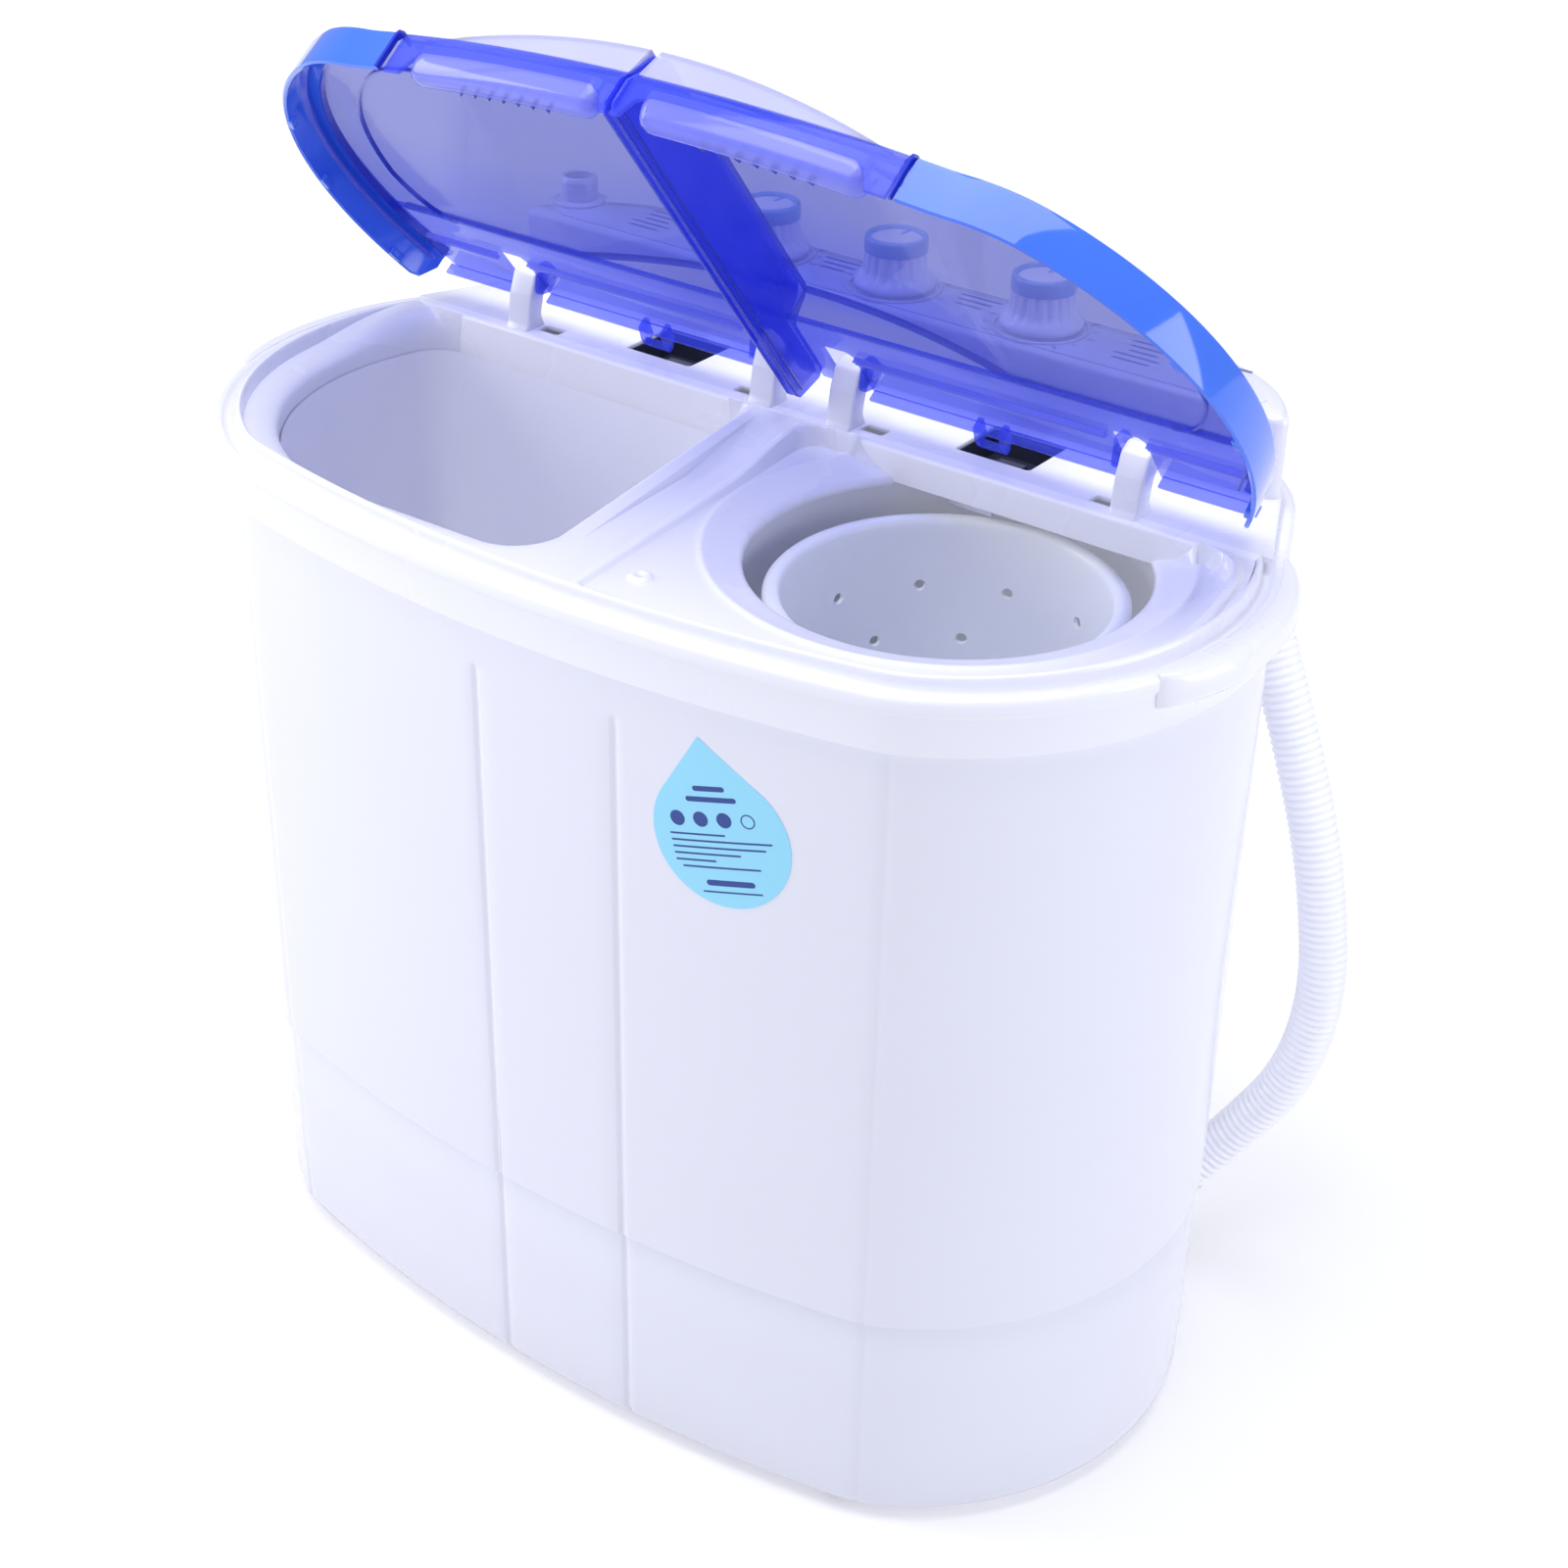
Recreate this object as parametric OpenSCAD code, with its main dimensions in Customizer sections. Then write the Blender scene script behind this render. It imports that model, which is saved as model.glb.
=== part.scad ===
// Twin tub washer: a wash tub with a pulsator on the left, a spin basket on the right,
// a see-through lid over each, a control console along the back and a free drain hose.
// Millimetres. +Z is up, the front faces -Y, and the origin is on the floor, under the middle.

/* [Body] */
// Overall width at the rim
body_w = 590; // [540:5:640]
// How far the front bow stands forward of the origin
front_y = 180; // [175:1:190]
// How far the back wall stands behind the origin
back_y = 180; // [176:1:186]
// Radius of the shallow front bow
bow_r = 873; // [800:1:1000]
// Radius of the rounded ends
end_r = 165; // [160:1:168]
// Radius of the two back corners
corner_r = 95; // [88:1:100]
// Thickness of the moulded walls
wall = 3; // [2:0.5:4]

/* [Levels] */
// Height of the rubber feet
foot_h = 6; // [4:1:10]
// Height of the seam between the base and the cabinet
seam_z = 135; // [128:1:142]
// Underside of the deck plate, which rests on the cabinet
plate_z = 488; // [486:1:492]
// Top of the outer rim
rim_z = 495; // [494:1:498]
// Top of the rear deck that carries the hinge posts
rear_z = 500; // [499:1:502]
// Top of the control console
console_z = 543; // [536:1:550]

/* [Wash side] */
// Radius of the rounded left end of the wash opening
wash_r = 132; // [124:1:134]
// Inner face of the wash tub's right wall, left of the middle
wash_right = 26; // [24:1:40]
// Lean of that wall and of the ridge beside it, in degrees
wash_lean = 5; // [0:1:8]
// Underside of the wash tub
wash_floor_z = 165; // [150:1:200]
// Radius of the pulsator
pulsator_r = 76; // [60:1:80]

/* [Spin side] */
// Distance of the spin axis right of the middle
spin_x = 139; // [137:1:141]
// Distance of the spin axis in front of the origin
spin_y = 13; // [10:1:15]
// Radius of the spin opening
spin_open_r = 98; // [95:1:99]
// Outer radius of the spin basket's wall
basket_r = 82; // [76:1:84]
// Floor of the spin basket
basket_floor_z = 246; // [220:1:300]
// Top of the spin basket
basket_top_z = 470; // [460:1:472]
// Holes in one row of the basket's wall
basket_holes = 11; // [8:1:14]
// Rows of holes in the basket's wall
basket_rows = 6; // [2:1:8]

/* [Lids] */
// Angle that the lids stand open
lid_open = 51.5; // [0:0.5:90]
// Depth of the lid's skirt
skirt_h = 21; // [18:1:24]
// Rise of the lid's arch above its skirt at the middle of the machine
arch_h = 21; // [12:1:24]
// Half of the arch's width; the window is flat beyond it
arch_half = 152; // [120:2:240]
// Thickness of the lid's mouldings
lid_t = 2.4; // [2:0.2:3]

/* [Controls] */
// Outer radius of a knob's skirt
knob_r = 22; // [18:1:24]
// Height of a knob
knob_h = 28; // [22:1:32]

/* [Hidden] */

white = "#f1f2f8";
shade = "#dcdff0";
blue = [0.16, 0.27, 0.93, 0.55];
clear = [0.86, 0.88, 0.98, 0.35];
pale_blue = "#7fb2e0";
rubber = "#33343a";
steel = "#b4b8bd";
dark = "#20242e";
copper = "#b3703a";
big = 2000;                         // larger than the whole machine
slop = 0.05;                        // radial clearance of a running fit
gap = 0.4;                          // clearance between faces that pass each other

// Plan of the body: a shallow bow, two end arcs and two back corners, each smooth into the next.
bow_c = [0, bow_r - front_y];
end_c = [body_w / 2 - end_r, -8];
corner_c = [end_c[0] + 35, back_y - corner_r];
meet_d = norm(end_c - bow_c);
link = corner_c - end_c;
tangent_a = atan2(link[1], link[0]) - acos((end_r - corner_r) / norm(link));

function arc(c, r, a0, a1, n) =
    [for (i = [0 : n]) let (a = a0 + (a1 - a0) * i / n) [c[0] + r * cos(a), c[1] + r * sin(a)]];
function flip(pts) = [for (i = [len(pts) - 1 : -1 : 0]) [-pts[i][0], pts[i][1]]];
function meet(e) = let (
    r1 = bow_r - e,
    r2 = end_r - e,
    a = (r1 * r1 - r2 * r2 + meet_d * meet_d) / (2 * meet_d),
    h = sqrt(r1 * r1 - a * a),
    u = (end_c - bow_c) / meet_d
) [bow_c[0] + a * u[0] - h * u[1], bow_c[1] + a * u[1] + h * u[0]];
function angle_to(c, p) = atan2(p[1] - c[1], p[0] - c[0]);
function right_half(e) = let (m = meet(e)) concat(
    arc(bow_c, bow_r - e, -90, angle_to(bow_c, m), 10),
    arc(end_c, end_r - e, angle_to(end_c, m), tangent_a, 18),
    arc(corner_c, corner_r - e, tangent_a, 90, 10)
);
function body_pts(e) = concat(right_half(e), flip(right_half(e)));

module body2d(e = 0) {
    polygon(body_pts(e));
}

module ring2d(e0, e1) {
    difference() {
        body2d(e0);
        body2d(e1);
    }
}

module band(e0, e1, z0, z1) {
    translate([0, 0, z0]) linear_extrude(z1 - z0) ring2d(e0, e1);
}

module behind(y) {
    translate([-big / 2, y]) square([big, big]);
}

module ahead(y) {
    translate([-big / 2, y - big]) square([big, big]);
}

module right_of(x) {
    translate([x, -big / 2]) square([big, big]);
}

module slab(z0, z1) {
    translate([0, 0, z0]) linear_extrude(z1 - z0) children();
}

module tube(r0, r1, z0, z1) {
    translate([0, 0, z0]) difference() {
        cylinder(r = r1, h = z1 - z0, $fn = 96);
        translate([0, 0, -1]) cylinder(r = r0, h = z1 - z0 + 2, $fn = 96);
    }
}

module rod(r, z0, z1) {
    translate([0, 0, z0]) cylinder(r = r, h = z1 - z0, $fn = 96);
}

// Places a child that stands along +Z at p, pointing along d.
module aim(p, d) {
    translate(p)
        rotate([0, acos(d[2] / norm(d)), atan2(d[1], d[0])])
            children();
}

module pipe(points, r) {
    for (i = [0 : len(points) - 2])
        aim(points[i], points[i + 1] - points[i])
            cylinder(r = r, h = norm(points[i + 1] - points[i]), $fn = 48);
    for (i = [1 : len(points) - 2])
        translate(points[i]) sphere(r = r, $fn = 48);
}

// Wash opening: a round left end, a front that follows the bow, and square-cut right and back edges.
wall_y = 50;                        // back edge of both openings
wash_c = [-end_c[0], end_c[1]];
wash_in = 24;                       // radius of its back left and front right corners
wash_dy = wall_y - wash_in - wash_c[1];
wash_dx = sqrt(pow(wash_r - wash_in, 2) - wash_dy * wash_dy);
wash_mid = -37;                     // y at the middle of the right wall
wash_n = [cos(wash_lean), sin(wash_lean)];
// Middle of a corner of radius r at y that touches the right wall
function wash_corner(y, r) =
    [(wash_n * [-wash_right, wash_mid] - r - wash_n[1] * y) / wash_n[0], y];
function wash_pts(e) = concat(
    arc(wash_corner(-116, wash_in), wash_in - e, -86, wash_lean, 8),
    arc(wash_corner(wall_y - 10, 10), 10 - e, wash_lean, 90, 5),
    arc([wash_c[0] - wash_dx, wall_y - wash_in], wash_in - e, 90, 180 - atan2(wash_dy, wash_dx), 6),
    arc(wash_c, wash_r - e, 180 - atan2(wash_dy, wash_dx), 268, 22)
);
module wash2d(e = 0) {
    polygon(wash_pts(e));
}

spin_c = [spin_x, -spin_y];
module at_spin() {
    translate([spin_c[0], spin_c[1], 0]) children();
}
module spin_open2d(e = 0) {
    intersection() {
        translate(spin_c) circle(r = spin_open_r - e, $fn = 120);
        ahead(wall_y - e);
    }
}

pulsator_c = [-wash_right - 119, -41];
module at_pulsator() {
    translate([pulsator_c[0], pulsator_c[1], 0]) children();
}

// Base
base_in = 7;
module base_shell() {
    color(white) difference() {
        union() {
            band(base_in, base_in + wall, foot_h, seam_z);
            slab(foot_h, foot_h + wall) body2d(base_in);
        }
        // service opening behind the back panel
        translate([-140, back_y - 30, foot_h + 14]) cube([280, 60, 100]);
        for (x = [-250 : 25 : -150])
            translate([x, -40, 0]) cube([8, 80, foot_h + wall + 1]);
        at_gland() rod(gland_r, 5, 30);
        aim(outlet_p - outlet_d * 0.5, outlet_d) rod(outlet_r, 0, norm(outlet_d));
    }
}

module foot(x, y) {
    color(rubber) translate([x, y, 0]) difference() {
        cylinder(r = 16, h = foot_h, $fn = 64);
        translate([0, 0, -1]) cylinder(r = 6, h = 3, $fn = 64);
    }
}
foot_x = 190;
module foot_1() { foot(-foot_x, -105); }
module foot_2() { foot(foot_x, -105); }
module foot_3() { foot(-foot_x, 115); }
module foot_4() { foot(foot_x, 115); }

panel_y = back_y - base_in;
module back_panel() {
    color(white) difference() {
        translate([-155, panel_y, foot_h + 6]) cube([310, 2, seam_z - foot_h - 14]);
        for (x = [-100 : 16 : 100])
            translate([x - 3, panel_y - 1, 60]) cube([6, 4, 44]);
        for (x = [-147, 147], z = [22, 122])
            translate([x, panel_y + 3, z]) rotate([90, 0, 0]) cylinder(r = 2.2, h = 4, $fn = 32);
    }
}

module back_panel_screws() {
    color(steel)
        for (x = [-147, 147], z = [22, 122]) {
            translate([x, panel_y + 3.6, z]) rotate([90, 0, 0]) cylinder(r = 4, h = 1.6, $fn = 48);
            translate([x, panel_y + 2, z]) rotate([90, 0, 0]) cylinder(r = 2.1, h = 2, $fn = 32);
        }
}

// Cabinet: a hollow shell with three upright grooves in its front
groove_x = [-20, 64, 196];
groove_top = [444, 444, plate_z];
cab_in = 5;
module cabinet_shell() {
    color(white) difference() {
        band(cab_in, cab_in + wall, seam_z, plate_z);
        for (i = [0 : 2]) {
            y = bow_c[1] - sqrt(pow(bow_r - cab_in, 2) - pow(groove_x[i], 2));
            translate([groove_x[i] - 3, y - 3, seam_z - 1]) cube([6, 4.2, groove_top[i] - seam_z + 1]);
        }
    }
}

// Deck: the rim, the plate with both openings, the ridges and the raised rear part
ridge_in = 20;
ridge_x = 15;
module rear2d(e) {
    intersection() {
        body2d(e);
        behind(wall_y + 2);
    }
}
module spin_side2d(e) {
    intersection() {
        body2d(ridge_in + e);
        translate([ridge_x + e, -wall_y]) rotate(wash_lean) right_of(0);
        ahead(wall_y + 3);
    }
}
cut_x = [-108, 108];                // middles of the two lid-switch cut-outs
cut_y = 71;
cut_w = 44;
cut_d = 38;
post_x = [-194, -25, 25, 194];
ear_side = [1, -1, 1, -1];          // the side of each post that its lid's ear is on
module top_deck() {
    color(white) {
        band(0, cab_in - 1, plate_z - 22, rim_z);
        band(0, 12, plate_z, plate_z + wall);
        band(12, 15, plate_z, rear_z - gap);
        difference() {
            slab(plate_z, plate_z + wall) intersection() {
                body2d(1);
                ahead(wall_y + 5);
            }
            slab(plate_z - 1, rim_z) wash2d();
            slab(plate_z - 1, rim_z) intersection() {
                translate(spin_c) circle(r = spin_open_r + 18, $fn = 120);
                ahead(wall_y);
            }
        }
        // wall round the wash opening, down to the tub
        slab(plate_z - 12, plate_z + wall) difference() {
            wash2d(-wall);
            wash2d();
        }
        // funnel round the spin opening
        intersection() {
            at_spin() rotate_extrude($fn = 120) polygon([
                [spin_open_r, plate_z - 6], [spin_open_r + 20, plate_z + 1],
                [spin_open_r + 20, plate_z + wall], [spin_open_r, plate_z - 3]
            ]);
            slab(0, big) ahead(wall_y);
        }
        slab(plate_z + wall, rim_z + 2) difference() {
            spin_side2d(0);
            spin_side2d(5);
        }
        // rear deck with its front wall
        slab(plate_z + wall, rear_z) intersection() {
            ring2d(8, 12);
            behind(wall_y + 2);
        }
        translate([-262, wall_y, plate_z - 6]) cube([524, wall, rear_z - plate_z + 6]);
        difference() {
            slab(rear_z - wall, rear_z) intersection() {
                body2d(8);
                behind(wall_y);
            }
            for (x = cut_x)
                translate([x - cut_w / 2, cut_y, plate_z]) cube([cut_w, cut_d, 40]);
            for (i = [0 : 3])
                translate([post_x[i] + ear_side[i] * 16 - 7, 60, plate_z]) cube([14, 9, 40]);
        }
    }
}

module deck_screw() {
    color(shade) translate([44, -128, plate_z + wall]) {
        cylinder(r = 6, h = 1.2, $fn = 64);
        cylinder(r = 3.4, h = 2.4, $fn = 64);
    }
}

// Four hinge posts that lean back and carry the lids' pins
hinge_y = 69;
hinge_z = 527;
pin_r = 2.5;
post_w = 16;
module hinge_posts() {
    color(white)
        for (x = post_x)
            translate([x + post_w / 2, 0, 0]) rotate([0, -90, 0]) difference() {
                linear_extrude(post_w) union() {
                    polygon([
                        [rear_z, wall_y + 1], [rear_z, wall_y + 17], [hinge_z - 15, wall_y + 19],
                        [hinge_z - 3, hinge_y + 7], [hinge_z + 3, hinge_y - 7],
                        [hinge_z - 10, wall_y + 6]
                    ]);
                    translate([hinge_z, hinge_y]) circle(r = 7.5, $fn = 64);
                }
                translate([hinge_z, hinge_y, -1]) cylinder(r = pin_r + slop, h = post_w + 2, $fn = 64);
            }
}

// Tubs
module wash_tub() {
    color(shade) {
        slab(wash_floor_z + wall, plate_z - 12) difference() {
            wash2d(-wall);
            wash2d();
        }
        difference() {
            slab(wash_floor_z, wash_floor_z + wall) wash2d(-wall);
            at_pulsator() rod(19, wash_floor_z - 1, wash_floor_z + wall + 1);
            translate([-52, -62, 0]) rod(9, wash_floor_z - 1, wash_floor_z + wall + 1);
        }
        // overflow grille on the right wall
        for (z = [420 : 8 : 444])
            translate([-wash_right, wash_mid, z]) rotate(wash_lean) translate([-2, -30, 0]) cube([2.5, 60, 3]);
    }
}

spin_tub_r = 108;
spin_tub_z = 150;
module spin_tub() {
    color(shade) at_spin() {
        tube(spin_tub_r - wall, spin_tub_r, spin_tub_z, plate_z - 7);
        difference() {
            rod(spin_tub_r - 1, spin_tub_z, spin_tub_z + wall);
            rod(30, spin_tub_z - 1, spin_tub_z + wall + 1);
            translate([62 - spin_x, -62 + spin_y, 0]) rod(9, spin_tub_z - 1, spin_tub_z + wall + 1);
        }
    }
}

module gap_bracket() {
    color(white) at_spin()
        translate([-52, 79, plate_z - 17]) cube([26, 2.5, rear_z - wall - plate_z + 17]);
}

// Console
console_front = 115;
knob_x = [-88, -4, 88];
knob_y = 144;
module console2d(e) {
    intersection() {
        body2d(9 + e);
        behind(console_front + e);
    }
}
module console_housing() {
    color(white) {
        slab(rear_z, console_z - 2) difference() {
            console2d(0);
            console2d(2.5);
        }
        difference() {
            slab(console_z - 2, console_z) console2d(0);
            for (x = knob_x)
                translate([x, knob_y, 0]) rod(6, console_z - 3, console_z + 1);
        }
        for (x = knob_x)
            translate([x, knob_y, 0]) tube(24, 25.6, console_z, console_z + 1.6);
    }
}

module console_fascia() {
    color("#e4e6f4") difference() {
        slab(console_z, console_z + 0.8) intersection() {
            body2d(18);
            behind(console_front + 1.5);
            ahead(back_y - 8);
        }
        for (x = knob_x)
            translate([x, knob_y, 0]) rod(25.8, console_z - 1, console_z + 2);
        translate([-225, knob_y, 0]) rod(17, console_z - 1, console_z + 2);
    }
}

module timer_case(x, w, d, h) {
    difference() {
        translate([x - w / 2, knob_y - d / 2, console_z - 2 - h]) cube([w, d, h]);
        translate([x, knob_y, 0]) rod(3 + slop, console_z - 22, console_z);
    }
}
module wash_timer() { color("#c9c3a8") timer_case(knob_x[0], 52, 40, 26); }
module drain_selector() { color("#c9c3a8") timer_case(knob_x[1], 36, 34, 22); }
module spin_timer() { color("#c9c3a8") timer_case(knob_x[2], 52, 40, 26); }

box_z = rear_z - wall - 15;          // underside of the lid-switch boxes
module switch_box(x) {
    color(dark) difference() {
        translate([x - cut_w / 2 - 2, cut_y - 2, box_z]) cube([cut_w + 4, cut_d + 4, rear_z - wall - box_z]);
        translate([x - cut_w / 2, cut_y, box_z + 2]) cube([cut_w, cut_d, 20]);
    }
    color(steel) translate([x - 8, cut_y + 14, box_z + 2]) cube([16, 8, 7]);
}
module wash_switch_box() { switch_box(cut_x[0]); }
module spin_switch_box() { switch_box(cut_x[1]); }

module water_inlet() {
    color(white) translate([-225, knob_y, 0]) {
        tube(8, 11, console_z, console_z + 16);
        tube(11, 15, console_z, console_z + 2);
    }
}

// Side grips: lips that flare out under the rim at both ends
module grip() {
    slab(plate_z - 10, rim_z) intersection() {
        difference() {
            body2d(-9);
            body2d(0);
        }
        translate([200, -62]) square([200, 132]);
    }
}
module right_handle() { color(white) grip(); }
module left_handle() { color(white) mirror([1, 0, 0]) grip(); }

// Droplet label on the front, curved with the bow
label_x = 122;
label_z = 397;
label_r = 36;                       // round end of the droplet
label_tip = 52;                     // its tip, above the middle of the round end
label_lean = 14;
module droplet2d() {
    side = acos(label_r / label_tip);
    rotate(label_lean)
        polygon(concat([[0, label_tip]], arc([0, 0], label_r, 90 + side, 450 - side, 60)));
}
module droplet_label() {
    r = bow_r - cab_in;
    color("#8fd4f2") intersection() {
        translate([label_x, 0, label_z]) rotate([90, 0, 0]) linear_extrude(front_y) droplet2d();
        slab(label_z - 60, label_z + 80) intersection() {
            difference() {
                translate(bow_c) circle(r = r + 0.5, $fn = 720);
                translate(bow_c) circle(r = r, $fn = 720);
            }
            translate([label_x - 50, -front_y - 10]) square([100, 60]);
        }
    }
}

gland_r = 9;
module at_gland() {
    translate([-200, 148, 40]) rotate([0, 90, 125]) children();
}
module cord_gland() {
    color(rubber) at_gland() {
        tube(4, gland_r, 10, 24);
        tube(4, gland_r + 3, 18, 21);
    }
}

// Drain
outlet_p = [226, 146, 58];          // where the hose leaves its outlet
outlet_d = [22, 15, 27];            // and the way it points there
elbow_p = outlet_p - outlet_d;      // elbow inside the base
outlet_r = 14.5;
hose_r = 13.5;
module drain_outlet() {
    color(white) {
        aim(elbow_p + outlet_d * 0.35, outlet_d) rod(10, 0, norm(outlet_d) * 0.4);
        aim(outlet_p - outlet_d * 0.4, outlet_d) rod(outlet_r, 0, norm(outlet_d) * 0.4);
    }
}

valve_x = 30;
valve_y = -62;
module drain_valve() {
    color(white) difference() {
        translate([valve_x - 18, valve_y - 18, 70]) cube([36, 36, 55]);
        translate([valve_x, valve_y, 0]) rod(5 + slop, 92, 130);
    }
}
module drain_plunger() {
    color(steel) translate([valve_x, valve_y, 0]) {
        rod(5, 98, 130);
        rod(8, 130, 135);
    }
}
module drain_manifold() {
    color(shade) {
        pipe([[-52, -62, wash_floor_z], [-52, -62, 105], [valve_x - 18, -62, 105]], 11);
        pipe([[62, -62, spin_tub_z], [62, -62, 105], [valve_x + 18, -62, 105]], 11);
        pipe([[valve_x, valve_y + 18, 88], [valve_x, 131, 88], elbow_p], 11);
        translate(elbow_p) sphere(r = 12, $fn = 48);
    }
}

// Wash drive
module wash_bearing() {
    color(steel) at_pulsator() {
        tube(6 + slop, 18, 125, wash_floor_z + 4);
        tube(18, 34, wash_floor_z - 8, wash_floor_z);
    }
}
module pulsator() {
    color(shade) at_pulsator() {
        difference() {
            rod(pulsator_r, wash_floor_z + 7, wash_floor_z + 13);
            for (a = [15 : 30 : 345], r = [30, 45, 60])
                rotate(a) translate([r, 0, 0]) rod(2, wash_floor_z + 6, wash_floor_z + 14);
        }
        for (a = [0 : 60 : 300])
            rotate(a) translate([14, -4, wash_floor_z + 13]) cube([58, 8, 10]);
    }
}
module pulsator_cap() {
    color(steel) at_pulsator() rod(9, wash_floor_z + 13, wash_floor_z + 18);
}
module pulsator_shaft() {
    color(steel) at_pulsator() rod(6, 98, wash_floor_z + 7);
}
pulley_r = 52;
pinion_r = 13;
motor_c = [-40, 62];
belt_z0 = 104;
belt_h = 12;
module grooved_pulley(r, bore) {
    difference() {
        rotate_extrude($fn = 96) polygon([
            [bore, belt_z0 - 2], [r + 3, belt_z0 - 2], [r, belt_z0], [r, belt_z0 + belt_h],
            [r + 3, belt_z0 + belt_h + 2], [bore, belt_z0 + belt_h + 2]
        ]);
        if (r > 30)
            for (a = [0 : 60 : 300])
                rotate(a) translate([r * 0.6, 0, 0]) rod(9, belt_z0 - 3, belt_z0 + belt_h + 3);
    }
}
module driven_pulley() {
    color(white) at_pulsator() grooved_pulley(pulley_r, 6 + slop);
}
module motor_pulley() {
    color(steel) translate([motor_c[0], motor_c[1], 0]) {
        grooved_pulley(pinion_r, 4);
        rod(5, 60, belt_z0 + belt_h + 6);
    }
}
// Belt: two arcs joined by their outer tangents.
function belt_pts(r1, r2) = let (
    v = motor_c - pulsator_c,
    t = atan2(v[1], v[0]),
    k = acos((r1 - r2) / norm(v))
) concat(
    arc(pulsator_c, r1, t + k, t + 360 - k, 40),
    arc(motor_c, r2, t - k, t + k, 20)
);
module drive_belt() {
    color(rubber) slab(belt_z0 + 1, belt_z0 + belt_h - 1) difference() {
        polygon(belt_pts(pulley_r + 5, pinion_r + 5));
        polygon(belt_pts(pulley_r + 1, pinion_r + 1));
    }
}
module wash_motor() {
    color(steel) translate([motor_c[0], motor_c[1], 0]) {
        difference() {
            union() {
                rod(46, 24, 92);
                rod(14, 92, 98);
                for (a = [45 : 90 : 315])
                    rotate(a) translate([38, -9, foot_h + wall]) cube([28, 18, 27]);
            }
            rod(5 + slop, 58, 120);
        }
    }
}

// Spin drive
module spin_motor() {
    color(steel) at_spin() difference() {
        union() {
            rod(50, 28, 104);
            rod(62, 24, 28);
            rod(16, 104, 110);
        }
        rod(6 + slop, 60, 120);
    }
}
module spin_motor_mounts() {
    color(rubber) at_spin()
        for (a = [90, 210, 330])
            rotate(a) translate([52, 0, 0]) tube(4, 9, foot_h + wall, 24);
}
module spin_bearing() {
    color(steel) at_spin() tube(8 + slop, 16, 134, 146);
}
module spin_bellows() {
    color(rubber) at_spin() rotate_extrude($fn = 96) polygon([
        [16, 135], [19, 135], [22, 139], [25, 136], [28, 140], [32, 138], [36, 144],
        [36, spin_tub_z], [33, spin_tub_z], [30, 146], [27, 144], [24, 147], [20, 141], [16, 144]
    ]);
}
module capacitor() {
    color("#d8dade") translate([80, 92, 0]) {
        rod(17, foot_h + wall, 52);
        rod(3, 52, 58);
    }
}
module brake_drum() {
    color(steel) at_spin() difference() {
        rod(46, 114, 130);
        rod(8 + slop, 113, 131);
    }
}
module basket_shaft() {
    color(steel) at_spin() {
        rod(6, 62, 112);
        rod(8, 112, basket_floor_z - 6);
        rod(34, basket_floor_z - 6, basket_floor_z);
    }
}

// Brake lever: pivots beside the drum; its shoe stands just clear of the rim
brake_px = spin_x + 62;
brake_py = 40;
module brake_pivot() {
    color(steel) translate([brake_px, brake_py, 0]) {
        rod(7, foot_h + wall, 115);
        rod(3, 115, 132);
    }
}
module brake_lever() {
    color(steel) difference() {
        union() {
            translate([brake_px, brake_py, 0]) rod(8, 116, 128);
            translate([brake_px - 6, -spin_y - 12, 116]) cube([8, brake_py + spin_y + 12, 12]);
            translate([spin_x + 49, -spin_y - 12, 114]) cube([8, 24, 16]);
        }
        translate([brake_px, brake_py, 0]) rod(3 + slop, 110, 132);
    }
}

module basket_shell() {
    color("#e6e8f6") at_spin() difference() {
        union() {
            tube(basket_r - 2, basket_r, basket_floor_z + 2, basket_top_z - 8);
            rod(basket_r, basket_floor_z, basket_floor_z + 3);
            rotate_extrude($fn = 96) polygon([
                [0, basket_floor_z], [34, basket_floor_z], [34, basket_floor_z + 6],
                [14, basket_floor_z + 22], [0, basket_floor_z + 22]
            ]);
        }
        for (row = [0 : basket_rows - 1], i = [0 : basket_holes - 1])
            rotate((i + (row % 2) / 2) * 360 / basket_holes + 67)
                translate([basket_r - 6, 0, basket_top_z - 38 - row * 30])
                    rotate([0, 90, 0]) cylinder(r = 2.6, h = 10, $fn = 24);
        for (i = [0 : 7])
            rotate(i * 45) translate([58, 0, 0]) rod(3, basket_floor_z - 1, basket_floor_z + 4);
    }
}
module basket_ring() {
    color("#eceefa") at_spin() rotate_extrude($fn = 120) polygon([
        [basket_r - 2, basket_top_z - 8], [basket_r + 5, basket_top_z - 8],
        [basket_r + 7, basket_top_z - 5], [basket_r + 6, basket_top_z - 1],
        [basket_r + 3, basket_top_z], [basket_r - 1, basket_top_z - 2]
    ]);
}

// Knobs: a flared fluted skirt, a body and a shaft into the timer below
module knob(x) {
    z = console_z + 2.2;
    translate([x, knob_y, 0]) {
        color(white) difference() {
            rotate_extrude($fn = 96) polygon([
                [0, z], [knob_r, z], [knob_r, z + 3], [knob_r - 4.5, z + 9],
                [knob_r - 5.5, z + knob_h - 6], [0, z + knob_h - 6]
            ]);
            for (i = [0 : 17])
                rotate(i * 20) translate([knob_r - 3.8, 0, 0]) rod(2, z + 6, z + knob_h);
        }
        color(pale_blue) rod(knob_r - 6.5, z + knob_h - 7, z + knob_h);
        color(steel) rod(3, console_z - 20, z + 1);
    }
}
module wash_knob() { knob(knob_x[0]); }
module selector_knob() { knob(knob_x[1]); }
module spin_knob() { knob(knob_x[2]); }

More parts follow.
